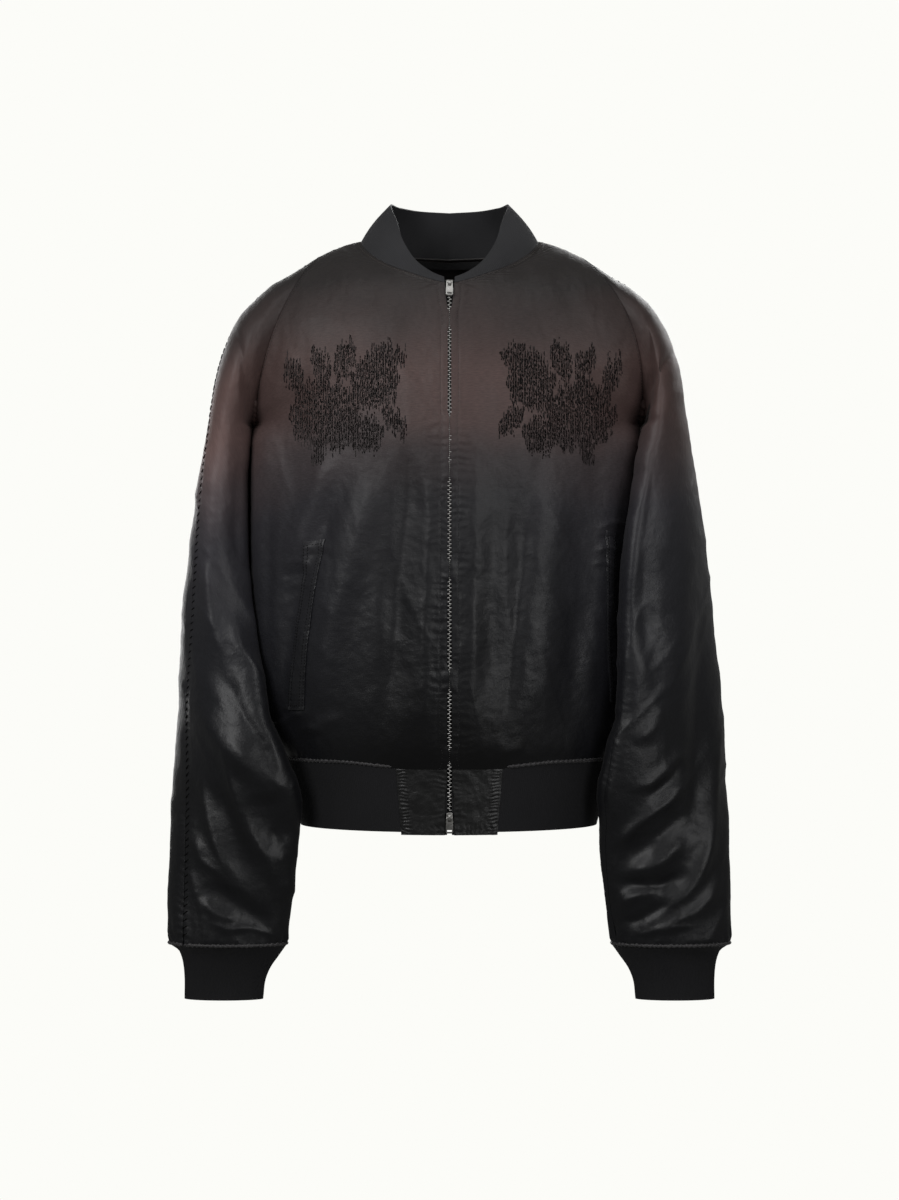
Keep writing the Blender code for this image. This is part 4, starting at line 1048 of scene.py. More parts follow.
@dataclass
class TorsoForm:
    """Sizes and curves of the body, as the solids have them."""

    shoulder: tuple[float, float, float] = (0.145, 0.0, -0.019)
    armpit: float = -0.200
    hem_seam: float = -0.568
    hem_dip: float = 0.005
    hem_bottom: float = -0.640
    tab_drop: float = 0.003
    neck: dict = field(default_factory=lambda: {Face.FRONT: -0.0555, Face.BACK: -0.012})
    neck_share: dict = field(default_factory=lambda: {Face.FRONT: 18 / 24, Face.BACK: 19 / 24})
    armpit_share: float = 14 / 24
    heights: tuple = (-0.568, -0.550, -0.520, -0.460, -0.380, -0.280, -0.200, -0.130, -0.080, -0.047, -0.012)
    depth: dict = field(default_factory=lambda: {
        Face.FRONT: (0.127, 0.135, 0.142, 0.147, 0.148, 0.148, 0.145, 0.132, 0.113, 0.097, 0.080),
        Face.BACK: (0.112, 0.120, 0.126, 0.128, 0.126, 0.132, 0.140, 0.138, 0.122, 0.100, 0.078)})
    half_width: dict = field(default_factory=lambda: {
        Side.RIGHT: (0.182, 0.190, 0.199, 0.207, 0.213, 0.214, 0.212, 0.200, 0.180, 0.160, 0.150),
        Side.LEFT: (0.180, 0.184, 0.186, 0.187, 0.190, 0.200, 0.208, 0.200, 0.180, 0.160, 0.150)})
    side_y: float = 0.004
    neck_turns: tuple = (0, 30, 60, 90, 112, 135, 155, 170, 180)
    neck_seam: dict = field(default_factory=lambda: {
        "x": (0.000, 0.050, 0.083, 0.097, 0.090, 0.067, 0.040, 0.018, 0.0052),
        "y": (0.078, 0.068, 0.038, 0.000, -0.033, -0.066, -0.086, -0.095, -0.098),
        "z": (-0.012, -0.010, -0.004, 0.000, -0.014, -0.032, -0.044, -0.052, -0.0555)})
    collar_top: dict = field(default_factory=lambda: {
        "x": (0.000, 0.033, 0.055, 0.065, 0.058, 0.049, 0.034, 0.017, 0.0056),
        "y": (0.060, 0.052, 0.030, 0.003, -0.028, -0.055, -0.075, -0.088, -0.093),
        "z": (0.039, 0.040, 0.041, 0.040, 0.020, -0.008, -0.031, -0.044, -0.049)})
    armhole_depth: float = 0.074
    armhole_bow: dict = field(default_factory=lambda: {Side.RIGHT: 0.012, Side.LEFT: 0.022})
    armhole_back_bow: float = 0.006
    gap_heights: tuple = (-0.65, -0.600, -0.592, -0.560, -0.300, -0.115, -0.086, -0.0555)
    gap_halves: tuple = (0.0049, 0.0049, 0.0029, 0.0028, 0.0013, 0.0013, 0.0026, 0.0052)

    def zip_gap(self, z: Array | float) -> Array:
        """Half the gap between the fronts at a height."""
        return np.interp(z, self.gap_heights, self.gap_halves)

    def loop_both(self, table: dict, turns: Array) -> Array:
        """The neck seam or the collar's top on both sides, with the turns on the right below 0."""
        points = self.loop(table, np.abs(turns))
        points[:, 0] *= np.where(turns < 0, -1.0, 1.0)
        return points

    def loop(self, table: dict, turn: Array | float) -> Array:
        """Points of the neck seam or the collar's top at a turn from the centre back."""
        return np.stack([smooth(self.neck_turns, table[axis], turn) for axis in "xyz"], axis=-1)

    def width(self, side: Side, z: Array | float) -> Array:
        """Half-width of the body at a height."""
        return smooth(self.heights, self.half_width[side], z)

    def armhole(self, side: Side, angles: Array) -> Array:
        """Points of the armhole.

        Args:
            side: Which one, given as if on the left.
            angles: 0 at the shoulder, half a turn at the armpit, then up the back.

        Returns:
            The points.
        """
        angles = np.asarray(angles, float) % (2 * math.pi)
        top = np.array(self.shoulder)
        bottom = np.array([float(self.width(side, self.armpit)), self.side_y, self.armpit])
        upward = unit(top - bottom)
        outward = np.array([upward[2], 0.0, -upward[0]])
        half = np.linalg.norm(top - bottom) / 2
        bow = np.where(angles < math.pi, self.armhole_bow[side], self.armhole_back_bow)
        points = (top + bottom) / 2 + upward * (half * np.cos(angles))[..., None]
        points[..., 1] -= self.armhole_depth * np.sin(angles)
        return points + outward * (bow * np.sin(angles) ** 2)[..., None]

    def hem_height(self, share: Array) -> Array:
        """Height of the front's hem seam, which dips a little towards the zip."""
        return self.hem_seam - self.hem_dip * (1 - soft_step(0.15, 0.5, share))

    def row(self, side: Side, face: Face, t: float, shares: Array) -> Array:
        """One row of half a front or back, given as if on the left.

        Args:
            side: The half.
            face: Front or back.
            t: Share of the height, from the hem.
            shares: Shares of the way from the centre to the side.

        Returns:
            The row's points.
        """
        sign, neck_share = face.value, self.neck_share[face]
        if t <= neck_share:
            z = self.hem_seam + (self.neck[face] - self.hem_seam) * t / neck_share
            depth = float(smooth(self.heights, self.depth[face], z))
            start = np.array([float(self.zip_gap(z)) if face is Face.FRONT else 0.0, sign * depth, z])
        else:
            turn_share = (t - neck_share) / (1 - neck_share)
            start = self.loop(self.neck_seam, 180 - 90 * turn_share if face is Face.FRONT else 90 * turn_share)
        rising = max(0.0, (t - self.armpit_share) / (1 - self.armpit_share))
        if t <= self.armpit_share:
            z = self.hem_seam + (self.armpit - self.hem_seam) * t / self.armpit_share
            end = np.array([float(self.width(side, z)), self.side_y, z])
        else:
            angle = math.pi * (1 - rising)
            end = self.armhole(side, np.array(angle if face is Face.FRONT else 2 * math.pi - angle))
        neck_rise = soft_step(neck_share - 0.25, 1.0, t)
        start_way = unit(np.array([1.0, 0, 0]) * (1 - neck_rise) + unit(np.array([1.0, 0, -0.15])) * neck_rise)
        end_way = np.array([0.0, -float(sign), 0.0])
        end_way = end_way + (np.array([0.74, -0.66 * sign, -0.10]) - end_way) * soft_step(0.0, 0.55, rising)
        end_way = unit(end_way + (unit(np.array([1.0, 0, -0.62])) - end_way) * soft_step(0.45, 1.0, rising))
        chord = end - start
        bend = 1 / 3 + (0.5523 - 1 / 3) * (1 - float(start_way @ end_way))
        first = start + start_way * bend * float(chord @ start_way)
        second = end - end_way * bend * float(chord @ end_way)
        s = np.linspace(0, 1, 257)[:, None]
        arc = (1 - s) ** 3 * start + 3 * (1 - s) ** 2 * s * first + 3 * (1 - s) * s**2 * second + s**3 * end
        return at_shares(arc, shares)

    def squareness(self, z: Array) -> Array:
        """How far the sides stand out to the front and back where the sleeves press on them."""
        return 0.016 * soft_step(0.200, 0.225, -z) * soft_step(0.56, 0.47, -z)

    def eased(self, grid: Array, ts: Array, shares: Array) -> Array:
        """Rounds the slight bends that start at the neck and at the armpit.

        Args:
            grid: Rows of points from the hem up.
            ts: Each row's share of the height.
            shares: Each column's share of a row.

        Returns:
            The rounded grid, with the same edges.
        """
        reach = 30
        weights = bell(np.arange(-reach, reach + 1), 12.0)
        padded = np.pad(grid, ((reach, reach), (0, 0), (0, 0)), mode="edge")
        soft = sum(weight * padded[i:i + len(grid)] for i, weight in enumerate(weights / weights.sum()))
        near = (soft_step(0.40, 0.52, ts) * soft_step(0, 0.12, 1 - ts))[:, None]
        inner = within(shares, 0.14, 0.12)[None]
        return grid + (soft - grid) * (near * inner)[..., None]

    def half(self, side: Side, face: Face, rows: int, shares: Array) -> Patch:
        """Half a front or back on its own side, without folds.

        Args:
            side: The half.
            face: Front or back.
            rows: Steps from the hem to the shoulder.
            shares: Its columns, as shares of each row.

        Returns:
            The patch.
        """
        ts = np.linspace(0, 1, rows + 1)
        grid = np.stack([self.row(side, face, float(t), shares) for t in ts])
        if face is Face.FRONT:
            dip = (self.hem_height(shares) - self.hem_seam)[None] * (1 - soft_step(0, 0.17, ts))[:, None]
            grid[..., 2] += dip
        grid = self.eased(grid, ts, shares)
        corner = soft_step(0.60, 0.86, shares) * (1 - soft_step(0.92, 1.0, shares))
        grid[..., 1] += face.value * self.squareness(grid[..., 2]) * corner[None]
        normals = grid_normals(grid, grid * LEVEL + np.array([0, 0, 0.02])) * side.mirror
        grid = grid * side.mirror
        half_gap = np.array([0, face.value * SEAM_GAP / 2, 0])
        for seam in ((slice(0, int(rows * self.armpit_share) + 1), -1), (-1, slice(None))):
            grid[seam] += half_gap
            normals[seam] = unit(normals[seam] * np.array([1, 0, 1]))
        return Patch(grid, normals)


@dataclass
class SleeveForm:
    """Sizes and rings of the sleeves, as the solids have them."""

    torso: TorsoForm
    outer: dict = field(default_factory=lambda: {
        "outer_x": (0.145, 0.172, 0.196, 0.217, 0.234, 0.247, 0.257, 0.266, 0.277, 0.287, 0.295, 0.300, 0.3025,
                    0.304, 0.3045, 0.305, 0.3055, 0.3040),
        "outer_z": (-0.019, -0.036, -0.050, -0.068, -0.090, -0.119, -0.158, -0.213, -0.276, -0.347, -0.425,
                    -0.490, -0.545, -0.600, -0.650, -0.710, -0.750, -0.767),
        "inner_z": (-0.200, -0.203, -0.206, -0.210, -0.215, -0.222, -0.234, -0.256, -0.296, -0.355, -0.425,
                    -0.490, -0.545, -0.600, -0.650, -0.710, -0.750, -0.767)})
    own: dict = field(default_factory=lambda: {
        Side.RIGHT: {
            "inner_x": (0.212, 0.2155, 0.2175, 0.2185, 0.2185, 0.2165, 0.2125, 0.2065, 0.201, 0.194, 0.190, 0.196,
                        0.186, 0.167, 0.159, 0.163, 0.1695, 0.1745),
            "middle_y": (0.000, 0.002, 0.006, 0.010, 0.014, 0.018, 0.021, 0.024, 0.025, 0.022, 0.008, -0.012,
                         -0.030, -0.040, -0.042, -0.040, -0.038, -0.038),
            "half_depth": (0.074, 0.083, 0.089, 0.093, 0.096, 0.097, 0.096, 0.094, 0.092, 0.088, 0.080, 0.068,
                           0.055, 0.045, 0.040, 0.038, 0.038, 0.037),
            "lead": (0.000, 0.000, 0.000, -0.003, -0.006, -0.012, -0.020, -0.028, -0.030, -0.024, 0.005, 0.038,
                     0.050, 0.036, 0.016, 0.005, 0.000, 0.000)},
        Side.LEFT: {
            "inner_x": (0.208, 0.2105, 0.212, 0.212, 0.211, 0.208, 0.203, 0.196, 0.191, 0.184, 0.1805, 0.179,
                        0.176, 0.166, 0.159, 0.1625, 0.170, 0.1745),
            "middle_y": (0.000, 0.002, 0.004, 0.006, 0.007, 0.007, 0.006, 0.002, -0.004, -0.012, -0.018, -0.024,
                         -0.030, -0.038, -0.042, -0.040, -0.038, -0.038),
            "half_depth": (0.074, 0.083, 0.089, 0.093, 0.096, 0.096, 0.094, 0.090, 0.082, 0.070, 0.060, 0.055,
                           0.051, 0.045, 0.040, 0.038, 0.038, 0.037),
            "lead": (0.000, 0.000, 0.000, 0.002, 0.006, 0.012, 0.020, 0.040, 0.055, 0.062, 0.060, 0.056,
                     0.050, 0.036, 0.016, 0.005, 0.000, 0.000)}})
    seam_turn: dict = field(default_factory=lambda: {Side.RIGHT: 0.75, Side.LEFT: -0.5})
    seam_eases: dict = field(default_factory=lambda: {Side.RIGHT: (3.5, 9.5), Side.LEFT: (3, 15)})
    clearance: float = 0.0048

    @property
    def last(self) -> int:
        """Number of the last ring."""
        return len(self.outer["outer_x"]) - 1

    def ring(self, side: Side, ring: float, angles: Array, joined: bool = True) -> Array:
        """Points of one ring, given as if on the left.

        Args:
            side: The sleeve.
            ring: Its place, from 0 at the armhole.
            angles: 0 at the outer point, then round the front.
            joined: Whether the first rings run into the armhole.

        Returns:
            The points.
        """
        keys = np.arange(self.last + 1)
        at = {name: float(smooth(keys, values, ring)) for name, values in {**self.outer, **self.own[side]}.items()}
        outer = np.array([at["outer_x"], 0, at["outer_z"]])
        inner = np.array([at["inner_x"], 0, at["inner_z"]])
        cosine, sine = np.cos(angles)[:, None], np.sin(angles)[:, None]
        points = (outer + inner) / 2 + np.array([0, at["middle_y"], 0]) + (outer - inner) / 2 * cosine
        points = points - np.array([0, 1.0, 0]) * (at["half_depth"] * sine - at["lead"] * cosine)
        share = float(1 - soft_step(0, 5, ring))
        if joined and share > 0:
            points = points + (self.torso.armhole(side, angles) - self.ring(side, 0.0, angles, False)) * share
        return points

    def limit(self, side: Side, points: Array) -> tuple[Array, Array]:
        """The x that just clears the body at points, and how far each is below the armpit, 0 to 1."""
        torso, z, y = self.torso, points[..., 2], points[..., 1]
        front = smooth(torso.heights, torso.depth[Face.FRONT], z) + torso.side_y
        back = smooth(torso.heights, torso.depth[Face.BACK], z) - torso.side_y
        reach = np.abs(y - torso.side_y) - torso.squareness(z)
        share = np.clip(reach / np.where(y < torso.side_y, front, back), 0, 1)
        below = soft_step(-torso.armpit - 0.005, -torso.armpit + 0.03, -z)
        return torso.width(side, z) * np.sqrt(1 - share**2) * below + self.clearance, below

    def room(self, side: Side, points: Array) -> Array:
        """Distance sideways between points and the body, large above the armpit."""
        limit, below = self.limit(side, points)
        return np.abs(points[..., 0]) - limit + 0.05 * (1 - below)

    def clear(self, side: Side, points: Array) -> Array:
        """Moves points, given as if on the left, out to where they just clear the body."""
        limit, below = self.limit(side, points)
        over = points[..., 0] - limit
        moved = points.copy()
        moved[..., 0] = limit + (over + np.sqrt(over**2 + 0.003**2)) / 2
        return np.where((below > 0)[..., None], moved, points)

    def half(self, side: Side, face: Face, rows: int, columns: int) -> Patch:
        """Half a sleeve on its own side, without folds.

        Args:
            side: The sleeve.
            face: Its front or back half.
            rows: Steps down the sleeve.
            columns: Steps from seam to seam.

        Returns:
            The patch.
        """
        start = 0.0 if face is Face.FRONT else math.pi
        step = math.pi / columns
        grid, centres = [], []
        for ring in np.linspace(0, self.last, rows + 1):
            turn = self.seam_turn[side] * soft_step(*self.seam_eases[side], ring)
            gap = SEAM_GAP / 2 / (0.03 + 0.05 * (1 - soft_step(0, self.last, ring)))
            angles = start + turn + np.r_[-step, np.linspace(gap, math.pi - gap, columns + 1), math.pi + step]
            grid.append(self.ring(side, float(ring), angles))
            centres.append(self.ring(side, float(ring), np.linspace(0, 2 * math.pi, 25)[:-1]).mean(axis=0))
        grid = self.clear(side, np.stack(grid))
        normals = grid_normals(grid, grid - np.stack(centres)[:, None])[:, 1:-1]
        grid = grid[:, 1:-1]
        grid[0] = grid[0] + unit(np.array([1.0, 0, 0.38])) * SEAM_GAP
        normals[-1] = unit(normals[-1] * LEVEL)
        return Patch(grid * side.mirror, normals * side.mirror)


# ---------------------------------------------------------------- sewing


@dataclass
class Sewing:
    """Threads on the cloth: runs of stitches, each a small spindle."""

    thick: float = 0.00042
    proud: float = 0.00012

    def spindle(self, sides: int = 4) -> Object:
        """One stitch of unit length along z, with drawn-in ends."""
        bpy.ops.object.select_all(action="DESELECT")
        bpy.ops.mesh.primitive_cylinder_add(vertices=sides, radius=0.5, depth=0.6, end_fill_type="NGON")
        made = bpy.context.active_object
        for side in (1, -1):
            bpy.ops.object.mode_set(mode="OBJECT")
            for polygon in made.data.polygons:
                polygon.select = polygon.normal.z * side > 0.9
            bpy.ops.object.mode_set(mode="EDIT")
            bpy.ops.mesh.select_mode(type="FACE")
            bpy.ops.mesh.extrude_region_move(TRANSFORM_OT_translate={"value": (0, 0, 0.2 * side)})
            bpy.ops.transform.resize(value=(0.05, 0.05, 1))
            bpy.ops.mesh.select_all(action="DESELECT")
        bpy.ops.object.mode_set(mode="OBJECT")
        return made

    def run(self, name: str, lines: Sequence[tuple[Array, Array]], length: float, pitch: float,
            material: Material, slant: float = 0.0, thick: float | None = None) -> Object:
        """Stitches along lines on a cloth.

        Args:
            name: The piece's name.
            lines: Points and the ways out of the cloth along each line.
            length: Each stitch's length.
            pitch: From one stitch to the next.
            material: The thread.
            slant: How far each stitch turns from the line towards its side, in radians.
            thick: The thread's thickness, if not the usual.

        Returns:
            The piece.
        """
        thick = thick or self.thick
        places, ways, outs = [], [], []
        for points, normals in lines:
            steps = lengths_along(points)
            at = np.arange(pitch / 2, steps[-1] - pitch / 2, pitch)
            middle, before, after = (read_line(at + shift, steps, points) for shift in (0, -length / 2, length / 2))
            out, way = unit(read_line(at, steps, normals)), unit(after - before)
            places.append(middle + out * self.proud)
            ways.append(way * math.cos(slant) + np.cross(out, way) * math.sin(slant))
            outs.append(out)
        ways, outs = np.concatenate(ways), np.concatenate(outs)
        sizes = np.tile([thick, thick, length], (len(ways), 1))
        return copies(name, self.spindle(3), np.concatenate(places), frames(ways, outs, sizes), material)


def rope(name: str, line: Array, outs: Array, thick: float, pitch: float,
         material: Material) -> Object:
    """A rolled seam edge that its stitches draw in at a slant, like a rope.

    Args:
        name: The piece's name.
        line: Points along its middle.
        outs: The way out of the cloth at each.
        thick: Its thickness.
        pitch: From one stitch to the next.
        material: Its cloth.

    Returns:
        The piece.
    """
    steps = lengths_along(line)
    at = np.arange(0, steps[-1], pitch / 5)
    middle, out = (read_line(at, steps, table) for table in (line, outs))
    way = unit(np.gradient(middle, axis=0))
    out = unit(out - way * (out * way).sum(axis=1, keepdims=True))
    aside = np.cross(way, out)
    turns = np.linspace(0, 2 * math.pi, 9)[:-1]
    noise = Noise(len(name) + 600)
    phase = 2 * math.pi * (at / pitch + 0.5 * noise.at(at / 0.02, 0 * at))
    swell = 1 + 0.25 * noise.at(at / 0.011, 0 * at + 5)
    radius = thick / 2 * swell[:, None] * (1 + 0.24 * np.sin(phase[:, None] + turns[None, :]))
    ends = np.minimum(1, 0.25 + np.minimum(at, steps[-1] - at) / thick)
    radius = (radius * ends[:, None])[..., None]
    circle = np.cos(turns)[:, None] * out[:, None] + np.sin(turns)[:, None] * aside[:, None]
    points = middle[:, None] + radius * circle
    index = np.arange(points.shape[0] * 8).reshape(-1, 8)
    after = np.roll(index, -1, axis=1)
    quads = np.stack([index[:-1], after[:-1], after[1:], index[1:]], axis=-1).reshape(-1, 4).tolist()
    caps = [index[0, ::-1].tolist(), index[-1].tolist()]
    return new_object(name, points.reshape(-1, 3), quads + caps, [material])


def pucker(off: Array, along: Array, pitch: float, reach: float, height: float, seed: int) -> Array:
    """Small gathers across a seam.

    Args:
        off: Distance from the seam.
        along: Distance along it.
        pitch: Usual distance between two gathers.
        reach: How far they run from the seam.
        height: Their height.
        seed: Draw of the unevenness.

    Returns:
        The rise, in metres.
    """
    noise = Noise(seed)
    phase = along / pitch + 0.8 * noise.at(along / pitch / 3.1, off / reach * 0.4)
    strength = 0.55 + 0.75 * noise.at(along / pitch / 4.7 + 40, off / reach * 0.3 + 7)
    fade = np.exp(-((off / reach) ** 1.3)) * soft_step(0, 0.0022, off)
    return height * fade * np.clip(strength, 0.1, 1.4) * np.sin(2 * math.pi * phase)


# ---------------------------------------------------------------- body


@dataclass
class Body:
    """The two fronts and the back, with their topstitching."""

    form: TorsoForm
    rows: int = 360
    front_edge_columns: int = 24
    front_columns: int = 84
    back_columns: int = 40
    closed_spans: tuple = ((0.085, 0.106), (0.199, 0.268), (0.352, 0.373), (0.467, 0.489), (0.551, 0.568))
    edge_share: float = 0.10
    stitch_in: float = 0.0078
    neck_stitch_in: float = 0.0046
    armhole_stitch_in: float = 0.0030
    roll_from: float = 0.235
    fronts: dict = field(default_factory=dict)
    backs: dict = field(default_factory=dict)
    shares: dict = field(default_factory=dict)

    def columns(self, face: Face) -> Array:
        """The columns as shares of a row, closer together beside the zip."""
        if face is Face.BACK:
            return np.linspace(0, 1, self.back_columns + 1)
        near = np.linspace(0, self.edge_share, self.front_edge_columns + 1)
        return np.r_[near, np.linspace(self.edge_share, 1, self.front_columns + 1)[1:]]

    def rise(self, patch: Patch, side: Side, face: Face) -> Array:
        """Folds, soft waves and puckers of half a front or back.

        Args:
            patch: Its plain form.
            side: The half.
            face: Front or back.

        Returns:
            The rise of each point.
        """
        shares = self.shares[face][None, :]
        up = np.linspace(0, 1, self.rows + 1)[:, None]
        across, along, far = patch.across, patch.along, patch.to_last_column
        x, z = patch.points[..., 0] * 1000, patch.points[..., 2] * 1000
        edge = within(up, 0.05, 0.09) * soft_step(0, 0.10, 1 - shares)
        if face is Face.FRONT:
            edge = edge * soft_step(0, 0.10, shares)
        neck_off = np.where(up > self.form.neck_share[face], across, 1.0)
        seed = 11 + 5 * side.value + 40 * face.value
        broad = Noise(seed).layers(x / 46 + z / 260, z / 210, 2) * 1.5
        broad += Noise(seed + 1).pinched(x / 40 + z / 120, z / 150) * 0.6 * soft_step(0.75, 0.35, up)
        small = Noise(seed + 2).layers(x / 15, z / 24, 3) * 0.42 + Noise(seed + 3).at(x / 7, z / 7) * 0.10
        folds = patch.folded(Cloth.BODY, edge)
        by_sleeve = soft_step(0.76, 0.90, shares) * soft_step(0.66, 0.60, up)
        folds = np.where(folds < 0, folds * (1 - 0.85 * by_sleeve), folds)
        rise = folds + (broad * edge * (1 - 0.7 * by_sleeve) + small * soft_step(0, 0.02, 1 - shares)
                                                 * soft_step(0, 0.012, up) * soft_step(0, 0.012, 1 - up)) * MM
        pressed = soft_step(0.200, 0.210, -z * MM) * soft_step(0.567, 0.535, -z * MM)
        rise += 0.0040 * pressed * soft_step(0.70, 0.88, shares)
        rise *= soft_step(0, 0.012, neck_off)
        rise += pucker(along, x * MM, pitch=0.0062, reach=0.011, height=0.00055, seed=seed + 4)
        rise += pucker(far, along, pitch=0.0075, reach=0.009, height=0.00040, seed=seed + 5)
        rise += pucker(patch.to_last_row, across, pitch=0.0080, reach=0.008, height=0.00030, seed=seed + 6)
        rise += pucker(neck_off, along, pitch=0.0060, reach=0.007, height=0.00035, seed=seed + 7)
        if face is Face.FRONT:
            lively = 0.45 + 0.9 * np.clip(Noise(seed + 8).at(z / 62, 0.3 + 0 * z) + 0.35, 0, 1)
            strip = bell(across - 0.0042, 0.0034) * soft_step(0.0004, 0.002, across)
            wave = np.sin(2 * math.pi * (along / 0.0066 + 0.9 * Noise(seed + 9).at(z / 21, x / 30)))
            wave = wave * np.clip(0.5 + Noise(seed + 12).at(z / 17, x / 9), 0, 1.3)
            rise += lively * (strip * (0.00020 + 0.00055 * wave)) * soft_step(0, 0.01, up)
            by_stitches = np.abs(across - self.stitch_in)
            rise += lively * pucker(by_stitches, along, pitch=0.0083, reach=0.010, height=0.00060, seed=seed + 10)
            rise -= 0.00045 * bell(across - self.stitch_in, 0.0010)
            rise += 0.0015 * self.closed(z * MM) * soft_step(0.009, 0.001, across)
        return rise

    def closed(self, z: Array) -> Array:
        """Where the fronts' edges meet over the teeth, 0 to 1."""
        return sum(soft_step(low - 0.004, low + 0.004, -z) * soft_step(high + 0.004, high - 0.004, -z)
                   for low, high in self.closed_spans)

    def drawn_in(self, z: Array) -> Array:
        """How far each front's edge leans over the teeth at a height."""
        gap, closed = self.form.zip_gap(z), self.closed(z)
        shown = 0.0018 + 0.0006 * soft_step(0.28, 0.52, -z)
        lean = np.maximum(gap - shown, -0.0008) * (1 - closed) + (gap - 0.0003) * closed
        return lean * soft_step(0.075, 0.088, -z)

    def shape(self) -> None:
        """Makes every half with its folds."""
        for face in Face:
            self.shares[face] = self.columns(face)
            for side in Side:
                patch = self.form.half(side, face, self.rows, self.shares[face])
                made = patch.raised(self.rise(patch, side, face))
                if face is Face.FRONT:
                    edge = soft_step(0.011, 0.0, patch.across)
                    made.points[..., 0] -= side.value * self.drawn_in(patch.points[..., 2]) * edge
                (self.fronts if face is Face.FRONT else self.backs)[side] = made
        centre = (slice(0, int(self.rows * self.form.neck_share[Face.BACK]) + 1), 0)
        right, left = self.backs[Side.RIGHT], self.backs[Side.LEFT]
        middle = (right.points[centre] + left.points[centre]) / 2 * np.array([0, 1, 1])
        way = unit((right.normals[centre] + left.normals[centre]) * np.array([0, 1, 1]))
        near = 14
        for half in (right, left):
            gap = middle - half.points[centre]
            fade = 1 - soft_step(0, 1, np.arange(near) / near)
            half.points[centre[0], :near] += gap[:, None] * fade[None, :, None]
            half.normals[centre] = way

    def dress(self, wardrobe: Wardrobe, sewing: Sewing) -> list[Object]:
        """Builds the pieces.

        Args:
            wardrobe: The materials.
            sewing: The stitch maker.

        Returns:
            The pieces.
        """
        self.shape()
        made = []
        for side, patch in self.fronts.items():
            piece = shell(f"front_{side.word}_satin", [patch], SATIN_WALL, wardrobe["satin"], wardrobe["lining"])
            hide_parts(f"front_{side.word}")
            made.append(piece)
        back = shell("back_satin", list(self.backs.values()), SATIN_WALL, wardrobe["satin"], wardrobe["lining"],
                     open_rows=int(self.rows * self.form.neck_share[Face.BACK]))
        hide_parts("back")
        made.append(back)
        neck_row = int(self.rows * self.form.neck_share[Face.FRONT])
        zip_rows, neck_rows = np.arange(0, neck_row - 2), np.arange(neck_row + 3, self.rows - 4)
        lines = [patch.inset(zip_rows, self.stitch_in) for patch in self.fronts.values()]
        made.append(sewing.run("zip_topstitch", lines, length=0.0021, pitch=0.0031,
                               material=wardrobe["sewing_thread"]))
        lines = [patch.inset(neck_rows, self.neck_stitch_in) for patch in self.fronts.values()]
        made.append(sewing.run("neck_topstitch", lines, length=0.0022, pitch=0.0031,
                               material=wardrobe["sewing_thread_light"], thick=0.0009))
        for side in Side:
            front, back = self.fronts[side], self.backs[side]
            start = int(np.searchsorted(self.shares[Face.FRONT], self.roll_from))
            line, outs = (np.concatenate([here[0, start:], there[0, -2::-1]]) for here, there in
                          ((front.points, back.points), (front.normals, back.normals)))
            line = line + outs * 0.0005 + np.array([0, 0, 0.0020])
            made.append(rope(f"hem_seam_roll_{side.word}", line, outs, thick=0.0038, pitch=0.0056,
                             material=wardrobe["worn_seam_edge"]))
        armhole_rows = np.arange(int(self.rows * self.form.armpit_share) + 3, self.rows - 3)
        for side in Side:
            lines = [half[side].inset(armhole_rows, self.armhole_stitch_in, True) for half in (self.fronts, self.backs)]
            made.append(sewing.run(f"armhole_topstitch_{side.word}", lines, length=0.0022, pitch=0.0034,
                                   material=wardrobe["sewing_thread"], thick=0.0006))
        return made


